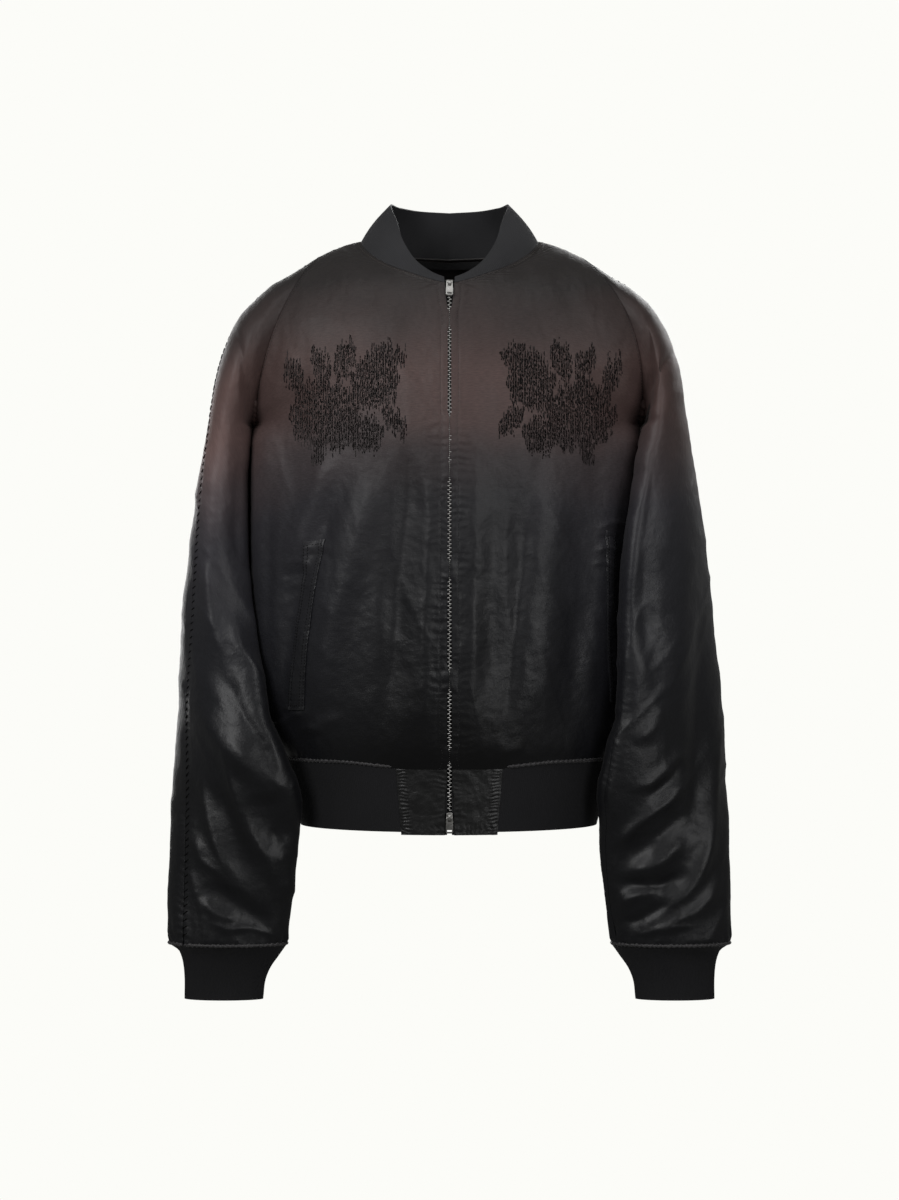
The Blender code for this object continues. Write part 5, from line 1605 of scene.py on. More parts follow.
@dataclass
class Sleeves:
    """Both sleeves in halves, with the whip-stitched overarm seams."""

    form: SleeveForm
    rows: int = 480
    columns: int = 64
    pressed: tuple = ((0.0042, (0.2005, 0.208), (0.262, 0.235), (0.018, 0.006)),
                      (0.0070, (0.515, 0.550), (0.640, 0.600), (0.040, 0.010)))
    whip_column: float = 0.7
    whip_slant: float = 0.95
    roll_turns: tuple[float, float] = (0.77, 1.23)
    halves: dict = field(default_factory=dict)

    def rise(self, patch: Patch, side: Side, face: Face) -> Array:
        """Folds, soft waves and puckers of half a sleeve."""
        down = np.linspace(0, 1, self.rows + 1)[:, None]
        over = np.linspace(0, 1, self.columns + 1)[None, :]
        across, along = patch.across, patch.along
        first, second = across, patch.to_last_column
        if face is Face.BACK:
            first, second = second, first
        x, z = patch.points[..., 0] * 1000, patch.points[..., 2] * 1000
        edge = within(down, 0.07, 0.035)
        seam = within(over, 0.06, 0.06)
        seed = 211 + 5 * side.value + 40 * face.value
        lean = -side.value * 0.7
        broad = Noise(seed).layers(x / 40 + lean * z / 90, z / 95, 2) * 1.3
        broad += Noise(seed + 1).pinched(x / 42 + lean * z / 70, z / 110) * 1.3 * soft_step(0.25, 0.6, down)
        small = Noise(seed + 2).layers(x / 14, z / 22, 3) * 0.45 + Noise(seed + 3).at(x / 7, z / 7) * 0.10
        rise = patch.folded(Cloth.SLEEVE, edge * (0.25 + 0.75 * seam))
        rise += (broad * seam + small * (0.3 + 0.7 * seam)) * edge * MM
        free = soft_step(0.004, 0.024, self.form.room(side, patch.points))
        rise = np.where(rise < 0, rise * (0.1 + 0.9 * free), rise)
        rise += pucker(along, across, pitch=0.0075, reach=0.010, height=0.00045, seed=seed + 4)
        rise += pucker(patch.to_last_row, across, pitch=0.0098, reach=0.017, height=0.00150, seed=seed + 5)
        rise += pucker(first, along, pitch=0.0074, reach=0.0075, height=0.00095, seed=seed + 7)
        rise += pucker(second, along, pitch=0.0062, reach=0.0075, height=0.00065, seed=seed + 8)
        return rise

    def dress(self, wardrobe: Wardrobe, sewing: Sewing) -> list[Object]:
        """Builds the pieces.

        Args:
            wardrobe: The materials.
            sewing: The stitch maker.

        Returns:
            The pieces.
        """
        made = []
        for side in Side:
            for face in Face:
                patch = self.form.half(side, face, self.rows, self.columns)
                moved = patch.raised(self.rise(patch, side, face))
                z = moved.points[..., 2]
                wide = np.abs(moved.points[..., 0]) - self.form.torso.width(side, z)
                for depth, starts, ends, near in self.pressed:
                    there = soft_step(*starts, -z) * soft_step(*ends, -z)
                    moved.points[..., 0] -= side.value * depth * there * soft_step(*near, wide)
                kept = self.form.clear(side, moved.points * side.mirror) * side.mirror
                near = soft_step(0, 0.02, np.linspace(0, 1, self.rows + 1))[:, None, None]
                half = Patch(moved.points + (kept - moved.points) * near, moved.normals)
                self.halves[side, face] = half
                name = f"sleeve_{side.word}_{face.name.lower()}"
                piece = shell(name + "_satin", [half], SATIN_WALL, wardrobe["satin"], wardrobe["lining"])
                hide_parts(name)
                made.append(piece)
            front, back = self.halves[side, Face.FRONT], self.halves[side, Face.BACK]
            rows = np.arange(4, self.rows - 3, 1.0)
            line = front.at(rows, np.full(len(rows), self.whip_column))
            made.append(sewing.run(f"overarm_whip_{side.word}", [line], length=0.0074, pitch=0.0080,
                                   material=wardrobe["patch_thread"], slant=self.whip_slant * side.value, thick=0.0018))
            ring, outs = (np.concatenate([first[-1], second[-1]]) for first, second in
                          ((front.points, back.points), (front.normals, back.normals)))
            line = ring + outs * 0.0004 + np.array([0, 0, 0.0012])
            made.append(rope(f"cuff_seam_roll_{side.word}", line, outs, thick=0.0034, pitch=0.0054,
                             material=wardrobe["worn_seam_edge"]))
            turns = np.linspace(*self.roll_turns, 28) * math.pi
            line = self.form.torso.armhole(side, turns) * side.mirror + np.array([0.0012 * side.value, 0, -0.0018])
            made.append(rope(f"armhole_seam_roll_{side.word}", line, unit(line - line.mean(axis=0)), thick=0.0084,
                             pitch=0.009, material=wardrobe["satin"]))
        return made


# ---------------------------------------------------------------- rib and trims


@dataclass
class RibBands:
    """Collar, cuffs and hem band in rib knit, with the satin tabs at the zip."""

    form: TorsoForm
    sleeves: SleeveForm
    pitch: float = 0.0023
    rib_height: float = 0.00030
    cuff: dict = field(default_factory=lambda: {
        "z": (-0.767, -0.773, -0.780, -0.791, -0.803, -0.8265),
        "outer_x": (0.3040, 0.2950, 0.2915, 0.2890, 0.2880, 0.2880),
        "inner_x": (0.1745, 0.1790, 0.1840, 0.1920, 0.1975, 0.2010),
        "half_depth": (0.037, 0.031, 0.027, 0.0235, 0.0215, 0.0200)})
    hem_taper: tuple[float, float] = (0.90, 0.96)
    seam_steps: int = 400
    tab_width_share: float = 2 / 9
    tab_columns: int = 49
    tab_rows: int = 61
    rib_rows: int = 11
    tape_width: float = 0.008
    tape_lean: float = 0.32

    def ribbed(self, grid: Array, normals: Array, ends: float = 0.0) -> Patch:
        """Raises a rib along every fourth column of a grid.

        Args:
            grid: The band's points.
            normals: The ways out.
            ends: Share of the height over which the ribs fade at both edges.

        Returns:
            The patch.
        """
        profile = np.array([0.0, 0.75, 1.0, 0.75])[np.arange(grid.shape[1]) % 4] - 1.0
        up = np.linspace(0, 1, grid.shape[0])[:, None]
        fade = within(up, max(ends, 1e-6), max(ends, 1e-6))
        return Patch(grid, normals).raised(profile[None, :] * self.rib_height * fade)

    def ribs_in(self, length: float) -> int:
        """Columns of a band this long: four a rib."""
        return 4 * round(length / self.pitch)

    def collar(self, wardrobe: Wardrobe) -> Object:
        """The stand-up collar, tapering to the zip."""
        turns = np.linspace(-180, 180, 721)
        seam, top = (self.form.loop_both(table, turns) for table in (self.form.neck_seam, self.form.collar_top))
        lengths, steps = lengths_along(seam), np.arange(len(turns))
        shares = np.linspace(0, 1, self.ribs_in(lengths[-1]) + 1)
        at = np.interp(shares * lengths[-1], lengths, steps)
        seam, top = (read_line(at, steps, line) for line in (seam, top))
        radial = unit((seam - NECK_MIDDLE) * LEVEL)
        height = np.linalg.norm(top - seam, axis=1, keepdims=True)
        rows = []
        for share in np.linspace(0, 1, 13):
            bulge = radial * 0.003 * math.sin(math.pi * share) * np.minimum(1, height / 0.04)
            rows.append(seam + np.array([0, 0, 1.3 * SEAM_GAP]) + (top - seam) * share + bulge)
        grid = np.stack(rows)
        normals = grid_normals(grid, radial[None] + np.array([0, 0, 0.3]))
        piece = shell("collar_rib", [self.ribbed(grid, normals, 0.08)], RIB_WALL, wardrobe["collar_rib_knit"])
        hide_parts("collar")
        return piece

    def neck_roll(self, wardrobe: Wardrobe) -> Object:
        """The collar's turned seam edge, which rolls over the gap at the neck seam inside the back."""
        turns = np.linspace(-84, 84, 73)
        line = self.form.loop_both(self.form.neck_seam, turns)
        inward = unit((NECK_MIDDLE - line) * LEVEL)
        uneven = Noise(900).at(turns / 7.0, 0 * turns + 0.5)[:, None]
        line = line + inward * (0.0021 + 0.0003 * uneven) + np.array([0, 0, 0.0004])
        curve = bpy.data.curves.new("neck_seam_roll", "CURVE")
        curve.dimensions = "3D"
        curve.bevel_depth = 0.0012
        curve.bevel_resolution = 2
        curve.use_fill_caps = True
        curve.materials.append(wardrobe["satin_trim"])
        spline = curve.splines.new("POLY")
        spline.points.add(len(line) - 1)
        spline.points.foreach_set("co", np.c_[line, np.ones(len(line))].ravel())
        made = put_in_scene("neck_seam_roll", curve)
        alone(made)
        bpy.ops.object.convert(target="MESH")
        made.data.shade_smooth()
        return made

    def neck_tape(self, wardrobe: Wardrobe) -> Object:
        """The tape that covers the neck seam inside the back."""
        turns = np.linspace(-70, 70, 61)
        line = self.form.loop_both(self.form.neck_seam, turns)
        outward = unit((line - NECK_MIDDLE) * LEVEL)
        upper = line - outward * 0.0007 - np.array([0, 0, RIB_WALL + SEAM_GAP])
        down = np.array([0, 0, math.sqrt(1 - self.tape_lean**2)])
        lower = upper + (outward * self.tape_lean - down) * self.tape_width
        grid = np.stack([lower + (upper - lower) * share for share in np.linspace(0, 1, 5)])
        patch = Patch(grid, grid_normals(grid, outward[None]))
        piece = shell("neck_tape_woven", [patch], TAPE_WALL, wardrobe["zip_tape"])
        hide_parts("back_neck_tape")
        return piece

    def cuffs(self, wardrobe: Wardrobe) -> list[Object]:
        """Rib tubes below the sleeves."""
        made = []
        size = {name: np.array(values) for name, values in self.cuff.items()}
        for side in Side:
            last = self.sleeves.last
            angles = np.linspace(0, 2 * math.pi, 721) + self.sleeves.seam_turn[side]
            seam = self.sleeves.clear(side, self.sleeves.ring(side, last, angles))
            length = np.linalg.norm(np.diff(seam, axis=0), axis=1).sum()
            seam = at_shares(seam, np.linspace(0, 1, self.ribs_in(length) + 1))
            seam[-1] = seam[0]
            half_width = (size["outer_x"] - size["inner_x"]) / 2
            middle_x = (size["outer_x"] + size["inner_x"]) / 2
            centre_y = (seam[:, 1].max() + seam[:, 1].min()) / 2
            at = np.linspace(0, 1, 17) ** 1.2
            keys = (size["z"] - size["z"][0]) / (size["z"][-1] - size["z"][0])
            rows = []
            for share in at:
                now = {name: float(smooth(keys, values, share)) for name, values in
                       (("z", size["z"]), ("half", half_width), ("middle", middle_x), ("depth", size["half_depth"]))}
                ring = seam.copy()
                ring[:, 0] = now["middle"] + (seam[:, 0] - middle_x[0]) * now["half"] / half_width[0]
                ring[:, 1] = centre_y + (seam[:, 1] - centre_y) * now["depth"] / size["half_depth"][0]
                ring[:, 2] = now["z"] - SEAM_GAP
                rows.append(ring)
            grid = np.stack(rows)
            wide = np.concatenate([grid[:, -2:-1], grid, grid[:, 1:2]], axis=1)
            normals = grid_normals(wide, wide - grid.mean(axis=1, keepdims=True))[:, 1:-1]
            normals[0] = unit(normals[0] * LEVEL)
            patch = self.ribbed(grid * side.mirror, normals * side.mirror, 0.04)
            piece = shell(f"cuff_{side.word}_rib", [patch], RIB_WALL, wardrobe["rib_knit"], closed=True)
            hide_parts(f"cuff_{side.word}")
            made.append(piece)
        return made

    def hem_seam(self, side: Side) -> Array:
        """The hem seam of one half, from the centre front to the centre back, as if on the left."""
        shares = np.linspace(0, 1, self.seam_steps)
        front, back = (self.form.row(side, face, 0.0, shares) for face in Face)
        front[:, 2] = self.form.hem_height(shares)
        return np.concatenate([front, back[-2::-1]])

    def hanging(self, top: Array, rows: int, drop: float = 0.0) -> Array:
        """Rows of points from a stretch of the hem seam down to the hem's edge.

        Args:
            top: The stretch.
            rows: How many rows.
            drop: How far the last row hangs below the hem's edge.

        Returns:
            The grid.
        """
        grid = []
        for share in np.linspace(0, 1, rows):
            row = top * np.array([*(1 - (1 - taper) * share for taper in self.hem_taper), 1])
            row[:, 2] = top[:, 2] - SEAM_GAP + (self.form.hem_bottom + SEAM_GAP - top[:, 2]) * share
            row[:, 2] -= drop * share
            grid.append(row)
        return np.stack(grid)

    def hem(self, wardrobe: Wardrobe, sewing: Sewing) -> list[Object]:
        """The rib band round the back and the satin tab on each side of the zip.

        Args:
            wardrobe: The materials.
            sewing: The stitch maker.

        Returns:
            The pieces.
        """
        left, right = (self.hem_seam(side) * side.mirror for side in (Side.LEFT, Side.RIGHT))
        ring = np.concatenate([left, right[-2::-1]])
        steps = lengths_along(ring)
        tabs = [np.linalg.norm(np.diff(half[:self.seam_steps], axis=0), axis=1).sum() * self.tab_width_share
                for half in (left, right)]
        low, high = tabs[0] + SEAM_GAP, steps[-1] - tabs[1] - SEAM_GAP
        at = np.linspace(low, high, self.ribs_in(high - low) + 1)
        grid = self.hanging(read_line(at, steps, ring), self.rib_rows)
        patch = self.ribbed(grid, grid_normals(grid, grid * LEVEL), 0.05)
        piece = shell("hem_rib_knit", [patch], RIB_WALL, wardrobe["rib_knit"])
        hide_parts("hem_rib")
        made = [piece]
        for side, ends in ((Side.LEFT, (0, tabs[0])), (Side.RIGHT, (steps[-1] - tabs[1], steps[-1]))):
            top = read_line(np.linspace(*ends, self.tab_columns), steps, ring)
            grid = self.hanging(top, self.tab_rows, self.form.tab_drop)
            inner, shares = (0, (1, 0)) if side is Side.LEFT else (-1, (0, 1))
            gap = side.value * self.form.zip_gap(grid[:, inner, 2]) - grid[:, inner, 0]
            grid[..., 0] += gap[:, None] * np.linspace(*shares, self.tab_columns)[None, :]
            patch = Patch(grid, grid_normals(grid, grid * LEVEL))
            patch = patch.raised(self.tab_rise(patch, side))
            piece = shell(f"hem_tab_{side.word}_satin", [patch], SATIN_WALL, wardrobe["satin_trim"])
            made += self.tab_stitches(patch, side, wardrobe, sewing)
            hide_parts(f"hem_tab_{side.word}")
            made.append(piece)
        return made

    def tab_rise(self, patch: Patch, side: Side) -> Array:
        """Puckers of a hem tab: ladders at its outer edge, small gathers at the zip and the bottom."""
        across, along, low = patch.across, patch.along, patch.to_last_row
        inner, outer = across, patch.to_last_column
        if side is Side.RIGHT:
            inner, outer = outer, inner
        seed = 400 + side.value
        ladder = bell(outer - 0.0065, 0.0048, 4) * soft_step(0, 0.0012, outer)
        wave = np.sin(2 * math.pi * (along / 0.0037 + 0.5 * Noise(seed).at(along / 0.012, outer / 0.01)))
        rise = ladder * (0.0002 + 0.00042 * wave)
        rise += pucker(inner, along, pitch=0.0060, reach=0.010, height=0.00045, seed=seed + 1)
        rise += pucker(np.abs(low - 0.005), across, pitch=0.0060, reach=0.006, height=0.00050, seed=seed + 2)
        rise += pucker(along, across, pitch=0.0075, reach=0.008, height=0.00035, seed=seed + 3)
        rise += Noise(seed + 4).layers(across / 0.016, along / 0.020, 3) * 0.0005 * soft_step(0, 0.004, along)
        return rise * soft_step(0, 0.0015, along)

    def tab_stitches(self, patch: Patch, side: Side, wardrobe: Wardrobe, sewing: Sewing) -> list[Object]:
        """Two rows of stitches down the tab's outer edge and one along its bottom."""
        rows, columns = patch.points.shape[:2]
        down = np.arange(0, rows - 3, 1.0)
        lines = []
        for inset in (2.0, 10.0):
            column = columns - 1 - inset if side is Side.LEFT else inset
            lines.append(patch.at(down, np.full(len(down), column)))
        over = np.arange(3, columns - 3, 1.0)
        lines.append(patch.at(np.full(len(over), rows - 6.0), over))
        return [sewing.run(f"hem_tab_{side.word}_stitches", lines, length=0.0019, pitch=0.0028,
                           material=wardrobe["sewing_thread"])]


@dataclass
class Pockets:
    """Slanted welts with their topstitching."""

    body: Body
    lift: float = 0.0009
    wall: float = 0.0015
    rows: int = 121
    columns: int = 21
    stitch_columns: tuple = (0.9, 4.4, 15.6, 19.1)
    stitch_rows: tuple = (3.0, 117.0)
    welts: dict = field(default_factory=lambda: {
        Side.RIGHT: {"top": (0.475, 0.560), "bottom": (0.590, 0.690), "heights": (0.360, 0.088)},
        Side.LEFT: {"top": (0.670, 0.755), "bottom": (0.770, 0.870), "heights": (0.385, 0.100)}})

    def dress(self, wardrobe: Wardrobe, sewing: Sewing) -> list[Object]:
        """Builds the welts and their stitches."""
        made = []
        for side, place in self.welts.items():
            front = self.body.fronts[side]
            shares = self.body.shares[Face.FRONT]
            points, normals = [], []
            for step in np.linspace(0, 1, self.rows):
                t = place["heights"][1] * (1 - step) + place["heights"][0] * step
                ends = [place["bottom"][i] * (1 - step) + place["top"][i] * step for i in (0, 1)]
                columns = np.interp(np.linspace(*ends, self.columns), shares, np.arange(len(shares)))
                row = front.at(np.full(self.columns, t * self.body.rows), columns)
                points.append(row[0])
                normals.append(row[1])
            patch = Patch(np.stack(points), np.stack(normals))
            near = np.minimum(patch.across, patch.to_last_column)
            seed = 500 + side.value
            gathers = pucker(np.abs(near - 0.0022), patch.along, pitch=0.0062, reach=0.006, height=0.00075, seed=seed)
            rise = self.lift + self.wall + gathers
            rise = rise - 0.0009 * bell(near, 0.0014) - 0.0006 * bell(near - 0.0040, 0.0009)
            patch = patch.raised(rise)
            piece = shell(f"pocket_welt_{side.word}_satin", [patch], self.wall, wardrobe["satin_trim"])
            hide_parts(f"pocket_welt_{side.word}")
            rows, cross = np.arange(2, self.rows - 2, 1.0), np.arange(2, self.columns - 2, 1.0)
            lines = [patch.at(rows, np.full(len(rows), column)) for column in self.stitch_columns]
            lines += [patch.at(np.full(len(cross), row), cross) for row in self.stitch_rows]
            made += [piece, sewing.run(f"pocket_welt_{side.word}_stitches", lines, length=0.0021, pitch=0.0033,
                                       material=wardrobe["patch_thread"], thick=0.0009)]
        return made


@dataclass(frozen=True)
class PatchThread:
    """One thread of the chest patches: steps in picture points, thickness in metres."""

    colour: str
    material: str
    step: float
    length: float
    thick: float
    proud: float
    left_out: float


PATCH_THREADS = (
    PatchThread("grey", "patch_thread_grey", 1.55, 4.6, 0.00165, 0.00010, 0.06),
    PatchThread("dark", "patch_thread", 2.30, 2.6, 0.00095, 0.00060, 0.42),
)


@dataclass
class ChestPatches:
    """Tone-on-tone flower patches in running stitch, one on each side of the chest."""

    body: Body
    size: float = 122.0
    flat_thread: float = 0.00070
    corners: dict = field(default_factory=lambda: {Side.RIGHT: (285.0, 337.0), Side.LEFT: (500.0, 337.0)})

    def flower(self, u: Array, v: Array, centre: tuple[float, float], radius: float, petals: int,
               turn: float) -> tuple[Array, Array]:
        """A many-petalled flower.

        Args:
            u: Place across the patch, 0 to 1.
            v: Place down it, 0 to 1.
            centre: The flower's middle.
            radius: Its size.
            petals: How many petals it has.
            turn: How far it is turned.

        Returns:
            Whether each point is in it, and whether it is on a petal's outline.
        """
        dx, dy = u - centre[0], v - centre[1]
        away = np.hypot(dx, dy) / radius
        angle = np.arctan2(dy, dx) + turn
        edge = 0.86 + 0.14 * np.abs(np.cos(petals * angle / 2))
        inside = away < edge
        rings = np.zeros_like(away, dtype=bool)
        for number, ring in enumerate((0.98, 0.70, 0.44, 0.20)):
            rim = ring * (0.84 + 0.16 * np.abs(np.cos((petals - number) * angle / 2 + number)))
            rings |= np.abs(away - rim) < 0.055
        return inside, rings & inside

    def leaf(self, u: Array, v: Array, foot: tuple[float, float], turn: float,
             length: float) -> tuple[Array, Array]:
        """A leaf with a middle vein: whether each point is in it, and whether it is on a line."""
        dx, dy = u - foot[0], v - foot[1]
        along = (dx * math.cos(turn) + dy * math.sin(turn)) / length
        off = (-dx * math.sin(turn) + dy * math.cos(turn)) / length
        half = 0.27 * np.sin(math.pi * np.clip(along, 0, 1)) ** 0.8
        inside = (along > 0) & (along < 1) & (np.abs(off) < half)
        return inside, inside & ((np.abs(off) < 0.035) | (np.abs(off) > half - 0.05))

    def motif(self, u: Array, v: Array) -> tuple[Array, Array]:
        """The whole design: a peony, two smaller blooms and leaves."""
        parts = [
            self.flower(u, v, (0.33, 0.64), 0.30, 9, 0.3),
            self.flower(u, v, (0.74, 0.38), 0.21, 7, 1.1),
            self.flower(u, v, (0.66, 0.80), 0.16, 6, 0.2),
            self.leaf(u, v, (0.36, 0.36), -2.0, 0.30),
            self.leaf(u, v, (0.44, 0.34), -1.25, 0.34),
            self.leaf(u, v, (0.62, 0.22), -0.22, 0.40),
            self.leaf(u, v, (0.80, 0.58), 0.80, 0.30),
            self.leaf(u, v, (0.12, 0.44), -1.9, 0.30),
            self.leaf(u, v, (0.30, 0.90), 1.85, 0.20),
            self.leaf(u, v, (0.52, 0.52), 0.15, 0.22),
        ]
        inside = np.any([part[0] for part in parts], axis=0)
        lines = np.zeros_like(inside)
        covered = np.zeros_like(inside)
        for part, part_lines in parts:
            lines |= part_lines & ~covered
            covered |= part
        return inside, lines

    def dress(self, wardrobe: Wardrobe, sewing: Sewing) -> list[Object]:
        """Sews both patches, dark thread on the lines and grey between them."""
        made = []
        for side, (left, top) in self.corners.items():
            tree = self.body.fronts[side].surface()
            draw = np.random.default_rng(77 + side.value)
            for thread in PATCH_THREADS:
                step, length, dark = thread.step, thread.length, thread.colour == "dark"
                across = np.arange(0, self.size, step)
                down = np.arange(-4, self.size + 4, length * 0.92)
                x, y = np.meshgrid(across, down, indexing="ij")
                y = y + draw.random((len(across), 1)) * length + draw.normal(0, 0.12 * length, x.shape)
                x = x + draw.normal(0, 0.14 * step, x.shape)
                u = (x if side is Side.RIGHT else self.size - x) / self.size
                inside, lines = self.motif(u, y / self.size + draw.normal(0, 0.030, (len(across), 1)))
                mask = inside & ((lines & dark) | (draw.random(x.shape) > thread.left_out))
                halves = length / 2 * (0.65 + 0.6 * draw.random(x.shape))
                places, ways, outs = [], [], []
                for px, py, half in zip(left + x[mask], top + y[mask], halves[mask]):
                    ends = [self.cast(tree, px, py + shift) for shift in (-half, half)]
                    if None in ends:
                        continue
                    (low, out), (high, _) = ends
                    places.append((low + high) / 2 + out * thread.proud)
                    ways.append(high - low)
                    outs.append(out)
                ways, outs = np.array(ways), np.array(outs)
                sizes = np.full(ways.shape, (thread.thick, self.flat_thread, 0.0))
                sizes[:, 2] = np.linalg.norm(ways, axis=1)
                made.append(copies(f"chest_patch_{side.word}_{thread.colour}", sewing.spindle(3), np.array(places),
                                   frames(ways, outs, sizes), wardrobe[thread.material]))
        return made

    def cast(self, tree: BVHTree, px: float, py: float) -> tuple[Array, Array] | None:
        """Where the camera's line through a picture point meets the front."""
        eye = Vector((0, -CAMERA_AWAY, CAMERA_HEIGHT))
        way = Vector(((px - PICTURE_MIDDLE[0]) * POINT, CAMERA_AWAY, -(py - PICTURE_MIDDLE[1]) * POINT)).normalized()
        place, normal, _, _ = tree.ray_cast(eye, way)
        if place is None:
            return None
        normal = np.array(normal)
        return np.array(place), normal * (-1 if normal[1] > 0 else 1)


# ---------------------------------------------------------------- zip


@dataclass
class Zip:
    """Tapes, teeth, sliders and pulls."""

    body: Body
    tooth_pitch: float = 0.0042
    tooth_size: tuple[float, float, float] = (0.0027, 0.0022, 0.00140)
    tooth_x: float = 0.00080
    top: float = -0.0640
    bottom: float = -0.6185
    end_room: float = 0.002
    chain_edge: float = 0.0015
    behind_edge: float = 0.0006
    below_pull: float = 0.0013
    pull_covers: tuple[float, float] = (-0.604, -0.596)
    slider_bevel: float = 0.00022
    pull_bevel: float = 0.00018

    def tooth(self) -> Object:
        """One tooth: a rounded block with a waist."""
        bpy.ops.object.select_all(action="DESELECT")
        bpy.ops.mesh.primitive_cube_add(size=1.0)
        made = bpy.context.active_object
        for polygon in made.data.polygons:
            polygon.select = polygon.normal.x > 0.9
        bpy.ops.object.mode_set(mode="EDIT")
        bpy.ops.mesh.select_mode(type="FACE")
        bpy.ops.transform.resize(value=(1, 0.8, 0.62))
        bpy.ops.object.mode_set(mode="OBJECT")
        bevel = made.modifiers.new("rounded", "BEVEL")
        bevel.width = 0.16
        bevel.segments = 1
        apply_all(made)
        return made

    def copy_of(self, node: Object, name: str, bevel: float, material: Material) -> Object:
        """A copy of a solid with its points merged and its edges softened.

        Args:
            node: The solid.
            name: The new piece's name.
            bevel: Width of the softened edges.
            material: Its material.

        Returns:
            The piece.
        """
        made = put_in_scene(name, node.data.copy())
        made.data.materials.clear()
        made.data.materials.append(material)
        with_edit(made, lambda: (bpy.ops.mesh.remove_doubles(threshold=0.00001),
                                 bpy.ops.mesh.dissolve_limited(angle_limit=math.radians(2))))
        soft = made.modifiers.new("softened", "BEVEL")
        soft.width = bevel
        soft.segments = 2
        soft.limit_method = "ANGLE"
        soft.angle_limit = math.radians(30)
        apply_all(made)
        made.data.shade_smooth()
        made.data.set_sharp_from_angle(angle=math.radians(35))
        return made

    def dress(self, nodes: dict, wardrobe: Wardrobe) -> dict[str, list[Object]]:
        """Builds the zip.

        Args:
            nodes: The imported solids.
            wardrobe: The materials.

        Returns:
            The pieces by the body they ride on.
        """
        chain = np.array([v.co for v in nodes["zip_chain"].data.vertices])
        front = chain[np.abs(chain[:, 0]) > self.chain_edge]
        order = np.argsort(front[:, 2])
        heights, depths = front[order, 2], front[order, 1]
        levels = np.unique(np.round(heights, 4))
        line_y = np.array([depths[np.abs(heights - level) < 0.0003].min() for level in levels])
        rim = np.mean([patch.points[:, 0] for patch in self.body.fronts.values()], axis=0)
        rim = rim[:int(self.body.rows * self.body.form.neck_share[Face.FRONT])]
        held = np.convolve(np.pad(rim[:, 1], 10, mode="edge"), np.ones(21) / 21, mode="valid")
        jacket = []
        for side in Side:
            offset = 0.0 if side is Side.LEFT else self.tooth_pitch / 2
            z = np.arange(self.bottom + self.end_room + offset, self.top - self.end_room, self.tooth_pitch)
            chain_y = np.interp(z, levels, line_y)
            y = np.minimum(chain_y, np.interp(z, rim[:, 2], held) + self.behind_edge)
            y += (chain_y + self.below_pull - y) * (1 - soft_step(*self.pull_covers, z))
            places = np.stack([np.full(len(z), side.value * self.tooth_x), y + 0.0002, z], axis=1)
            ways = unit(np.stack([np.zeros(len(z)), np.gradient(y, z), np.ones(len(z))], axis=1))
            axes = frames(ways, np.tile([0.0, -1.0, 0.0], (len(z), 1)), np.tile(self.tooth_size, (len(z), 1)))
            if side is Side.LEFT:
                axes[:, :, :2] *= -1
            jacket.append(copies(f"zip_teeth_{side.word}", self.tooth(), places, axes, wardrobe["zip_teeth"]))
        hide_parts("zip_chain")
        for side in Side:
            tape = nodes[f"zip_tape_{side.word}"]
            made = self.copy_of(tape, f"zip_tape_{side.word}_woven", 0.0001, wardrobe["zip_tape"])
            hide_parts(tape.name)
            jacket.append(made)
        pieces = {"jacket": jacket, "pull_top": [], "pull_bottom": []}
        for name in ("slider_top", "slider_bottom", "pull_top", "pull_bottom"):
            pull = name.startswith("pull")
            bevel = self.pull_bevel if pull else self.slider_bevel
            made = self.copy_of(nodes[name], f"{name}_plated", bevel, wardrobe["slider_metal"])
            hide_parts(name)
            pieces[name if pull else "jacket"].append(made)
        return pieces


# ---------------------------------------------------------------- studio


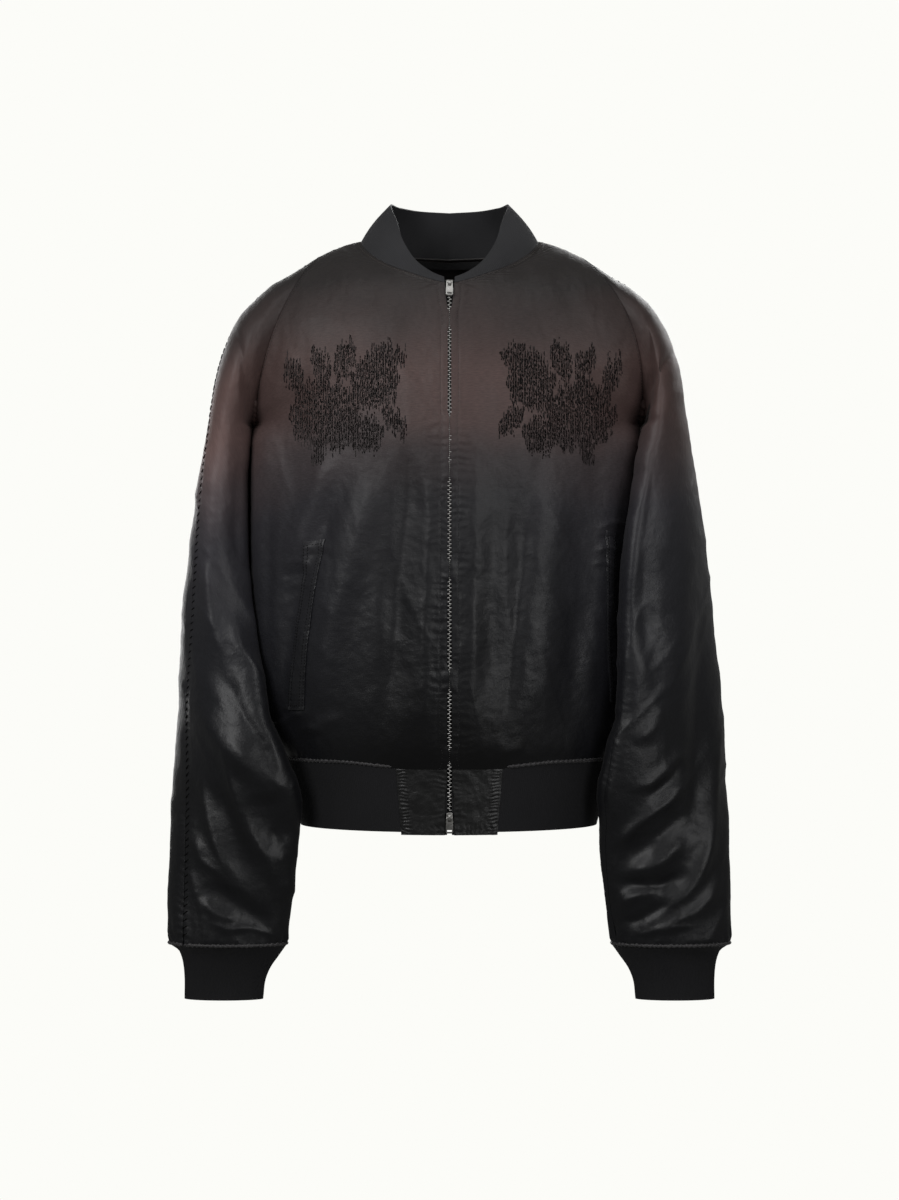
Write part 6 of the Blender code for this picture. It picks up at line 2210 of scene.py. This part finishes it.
@dataclass
class Studio:
    """Pale floor and backdrop, soft lights and the camera."""

    floor: float = -1.10
    paper: tuple[float, float, float, float] = (0.973, 0.973, 0.939, 1.0)
    fill_strength: float = 0.11
    aim: tuple[float, float, float] = (0.0, 0.0, -0.4)
    film_height: float = 24.0
    lights: tuple = (
        ("key", (-2.0, -2.6, 1.1), (1.6, 1.6), 42.0),
        ("fill", (1.9, -2.8, 0.3), (1.6, 2.0), 26.0),
        ("top", (0.0, -1.0, 2.3), (2.0, 1.0), 10.0),
        ("front", (-0.3, -3.45, 0.1), (2.3, 1.5), 2.0),
        ("back_key", (0.9, 3.1, 1.0), (1.6, 1.6), 46.0),
        ("back_fill", (-1.1, 3.0, 0.2), (1.4, 1.8), 26.0),
    )

    def backdrop(self) -> Object:
        """A wide flat floor of pale paper under the jacket, also for other views."""
        bpy.ops.object.select_all(action="DESELECT")
        bpy.ops.mesh.primitive_plane_add(size=14.0, location=(0, 0, self.floor))
        floor = bpy.context.active_object
        floor.name = "studio_floor"
        material, nodes, shader = new_material("studio_paper")
        nodes.fill(shader, {"Base Color": (0, 0, 0, 1), "Roughness": 1.0, "Specular IOR Level": 0.0,
                            "Emission Color": self.paper, "Emission Strength": self.seen(nodes)})
        floor.data.materials.append(material)
        return floor

    def seen(self, nodes: Nodes) -> Wire:
        """Full strength where the camera looks straight at the paper, and the fill's elsewhere."""
        return nodes.add("LightPath")["Is Camera Ray"] * (1 - self.fill_strength) + self.fill_strength

    def build(self) -> None:
        """Sets up floor, lights, world and camera."""
        self.backdrop()
        for name, place, size, power in self.lights:
            light = bpy.data.lights.new(name, "AREA")
            light.shape = "RECTANGLE"
            light.size, light.size_y = size
            light.energy = power
            lamp = put_in_scene(name, light)
            lamp.location = place
            lamp.rotation_euler = (Vector(self.aim) - Vector(place)).to_track_quat("-Z", "Y").to_euler()
        world = bpy.data.worlds.new("studio_white")
        bpy.context.scene.world = world
        world.use_nodes = True
        nodes = Nodes(world.node_tree)
        nodes.fill(world.node_tree.nodes["Background"], {"Color": self.paper, "Strength": self.seen(nodes)})
        camera = bpy.data.cameras.new("camera")
        camera.sensor_fit = "VERTICAL"
        camera.sensor_height = self.film_height
        camera.lens = self.film_height * CAMERA_AWAY / (FRAME_POINTS * POINT)
        eye = put_in_scene("camera", camera)
        eye.location = (0, -CAMERA_AWAY, CAMERA_HEIGHT)
        eye.rotation_euler = (math.pi / 2, 0, 0)
        bpy.context.scene.camera = eye
        bpy.context.scene.view_settings.view_transform = "Standard"

# ---------------------------------------------------------------- the whole


def settle(pieces: Iterable[Object], body: str) -> None:
    """Lets pieces ride on a body and reports them.

    Args:
        pieces: The pieces.
        body: The body's name.
    """
    for piece in pieces:
        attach(piece, body)
        piece.data.calc_loop_triangles()
        LOG.info("%s rides on %s: %d triangles", piece.name, body, len(piece.data.loop_triangles))


def main() -> None:
    """Builds the jacket in order."""
    logging.basicConfig(level=logging.INFO, format="%(name)s: %(message)s")
    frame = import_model()
    Studio().build()
    wardrobe = Wardrobe()
    sewing = Sewing()
    torso = TorsoForm()
    sleeve_form = SleeveForm(torso)
    body = Body(torso)
    settle(body.dress(wardrobe, sewing), "jacket")
    settle(Sleeves(sleeve_form).dress(wardrobe, sewing), "jacket")
    bands = RibBands(torso, sleeve_form)
    settle([bands.collar(wardrobe), bands.neck_roll(wardrobe), bands.neck_tape(wardrobe)], "jacket")
    settle(bands.cuffs(wardrobe), "jacket")
    settle(bands.hem(wardrobe, sewing), "jacket")
    settle(Pockets(body).dress(wardrobe, sewing), "jacket")
    settle(ChestPatches(body).dress(wardrobe, sewing), "jacket")
    for name, pieces in Zip(body).dress(frame["nodes"], wardrobe).items():
        settle(pieces, name)


if __name__ == "__main__":
    main()
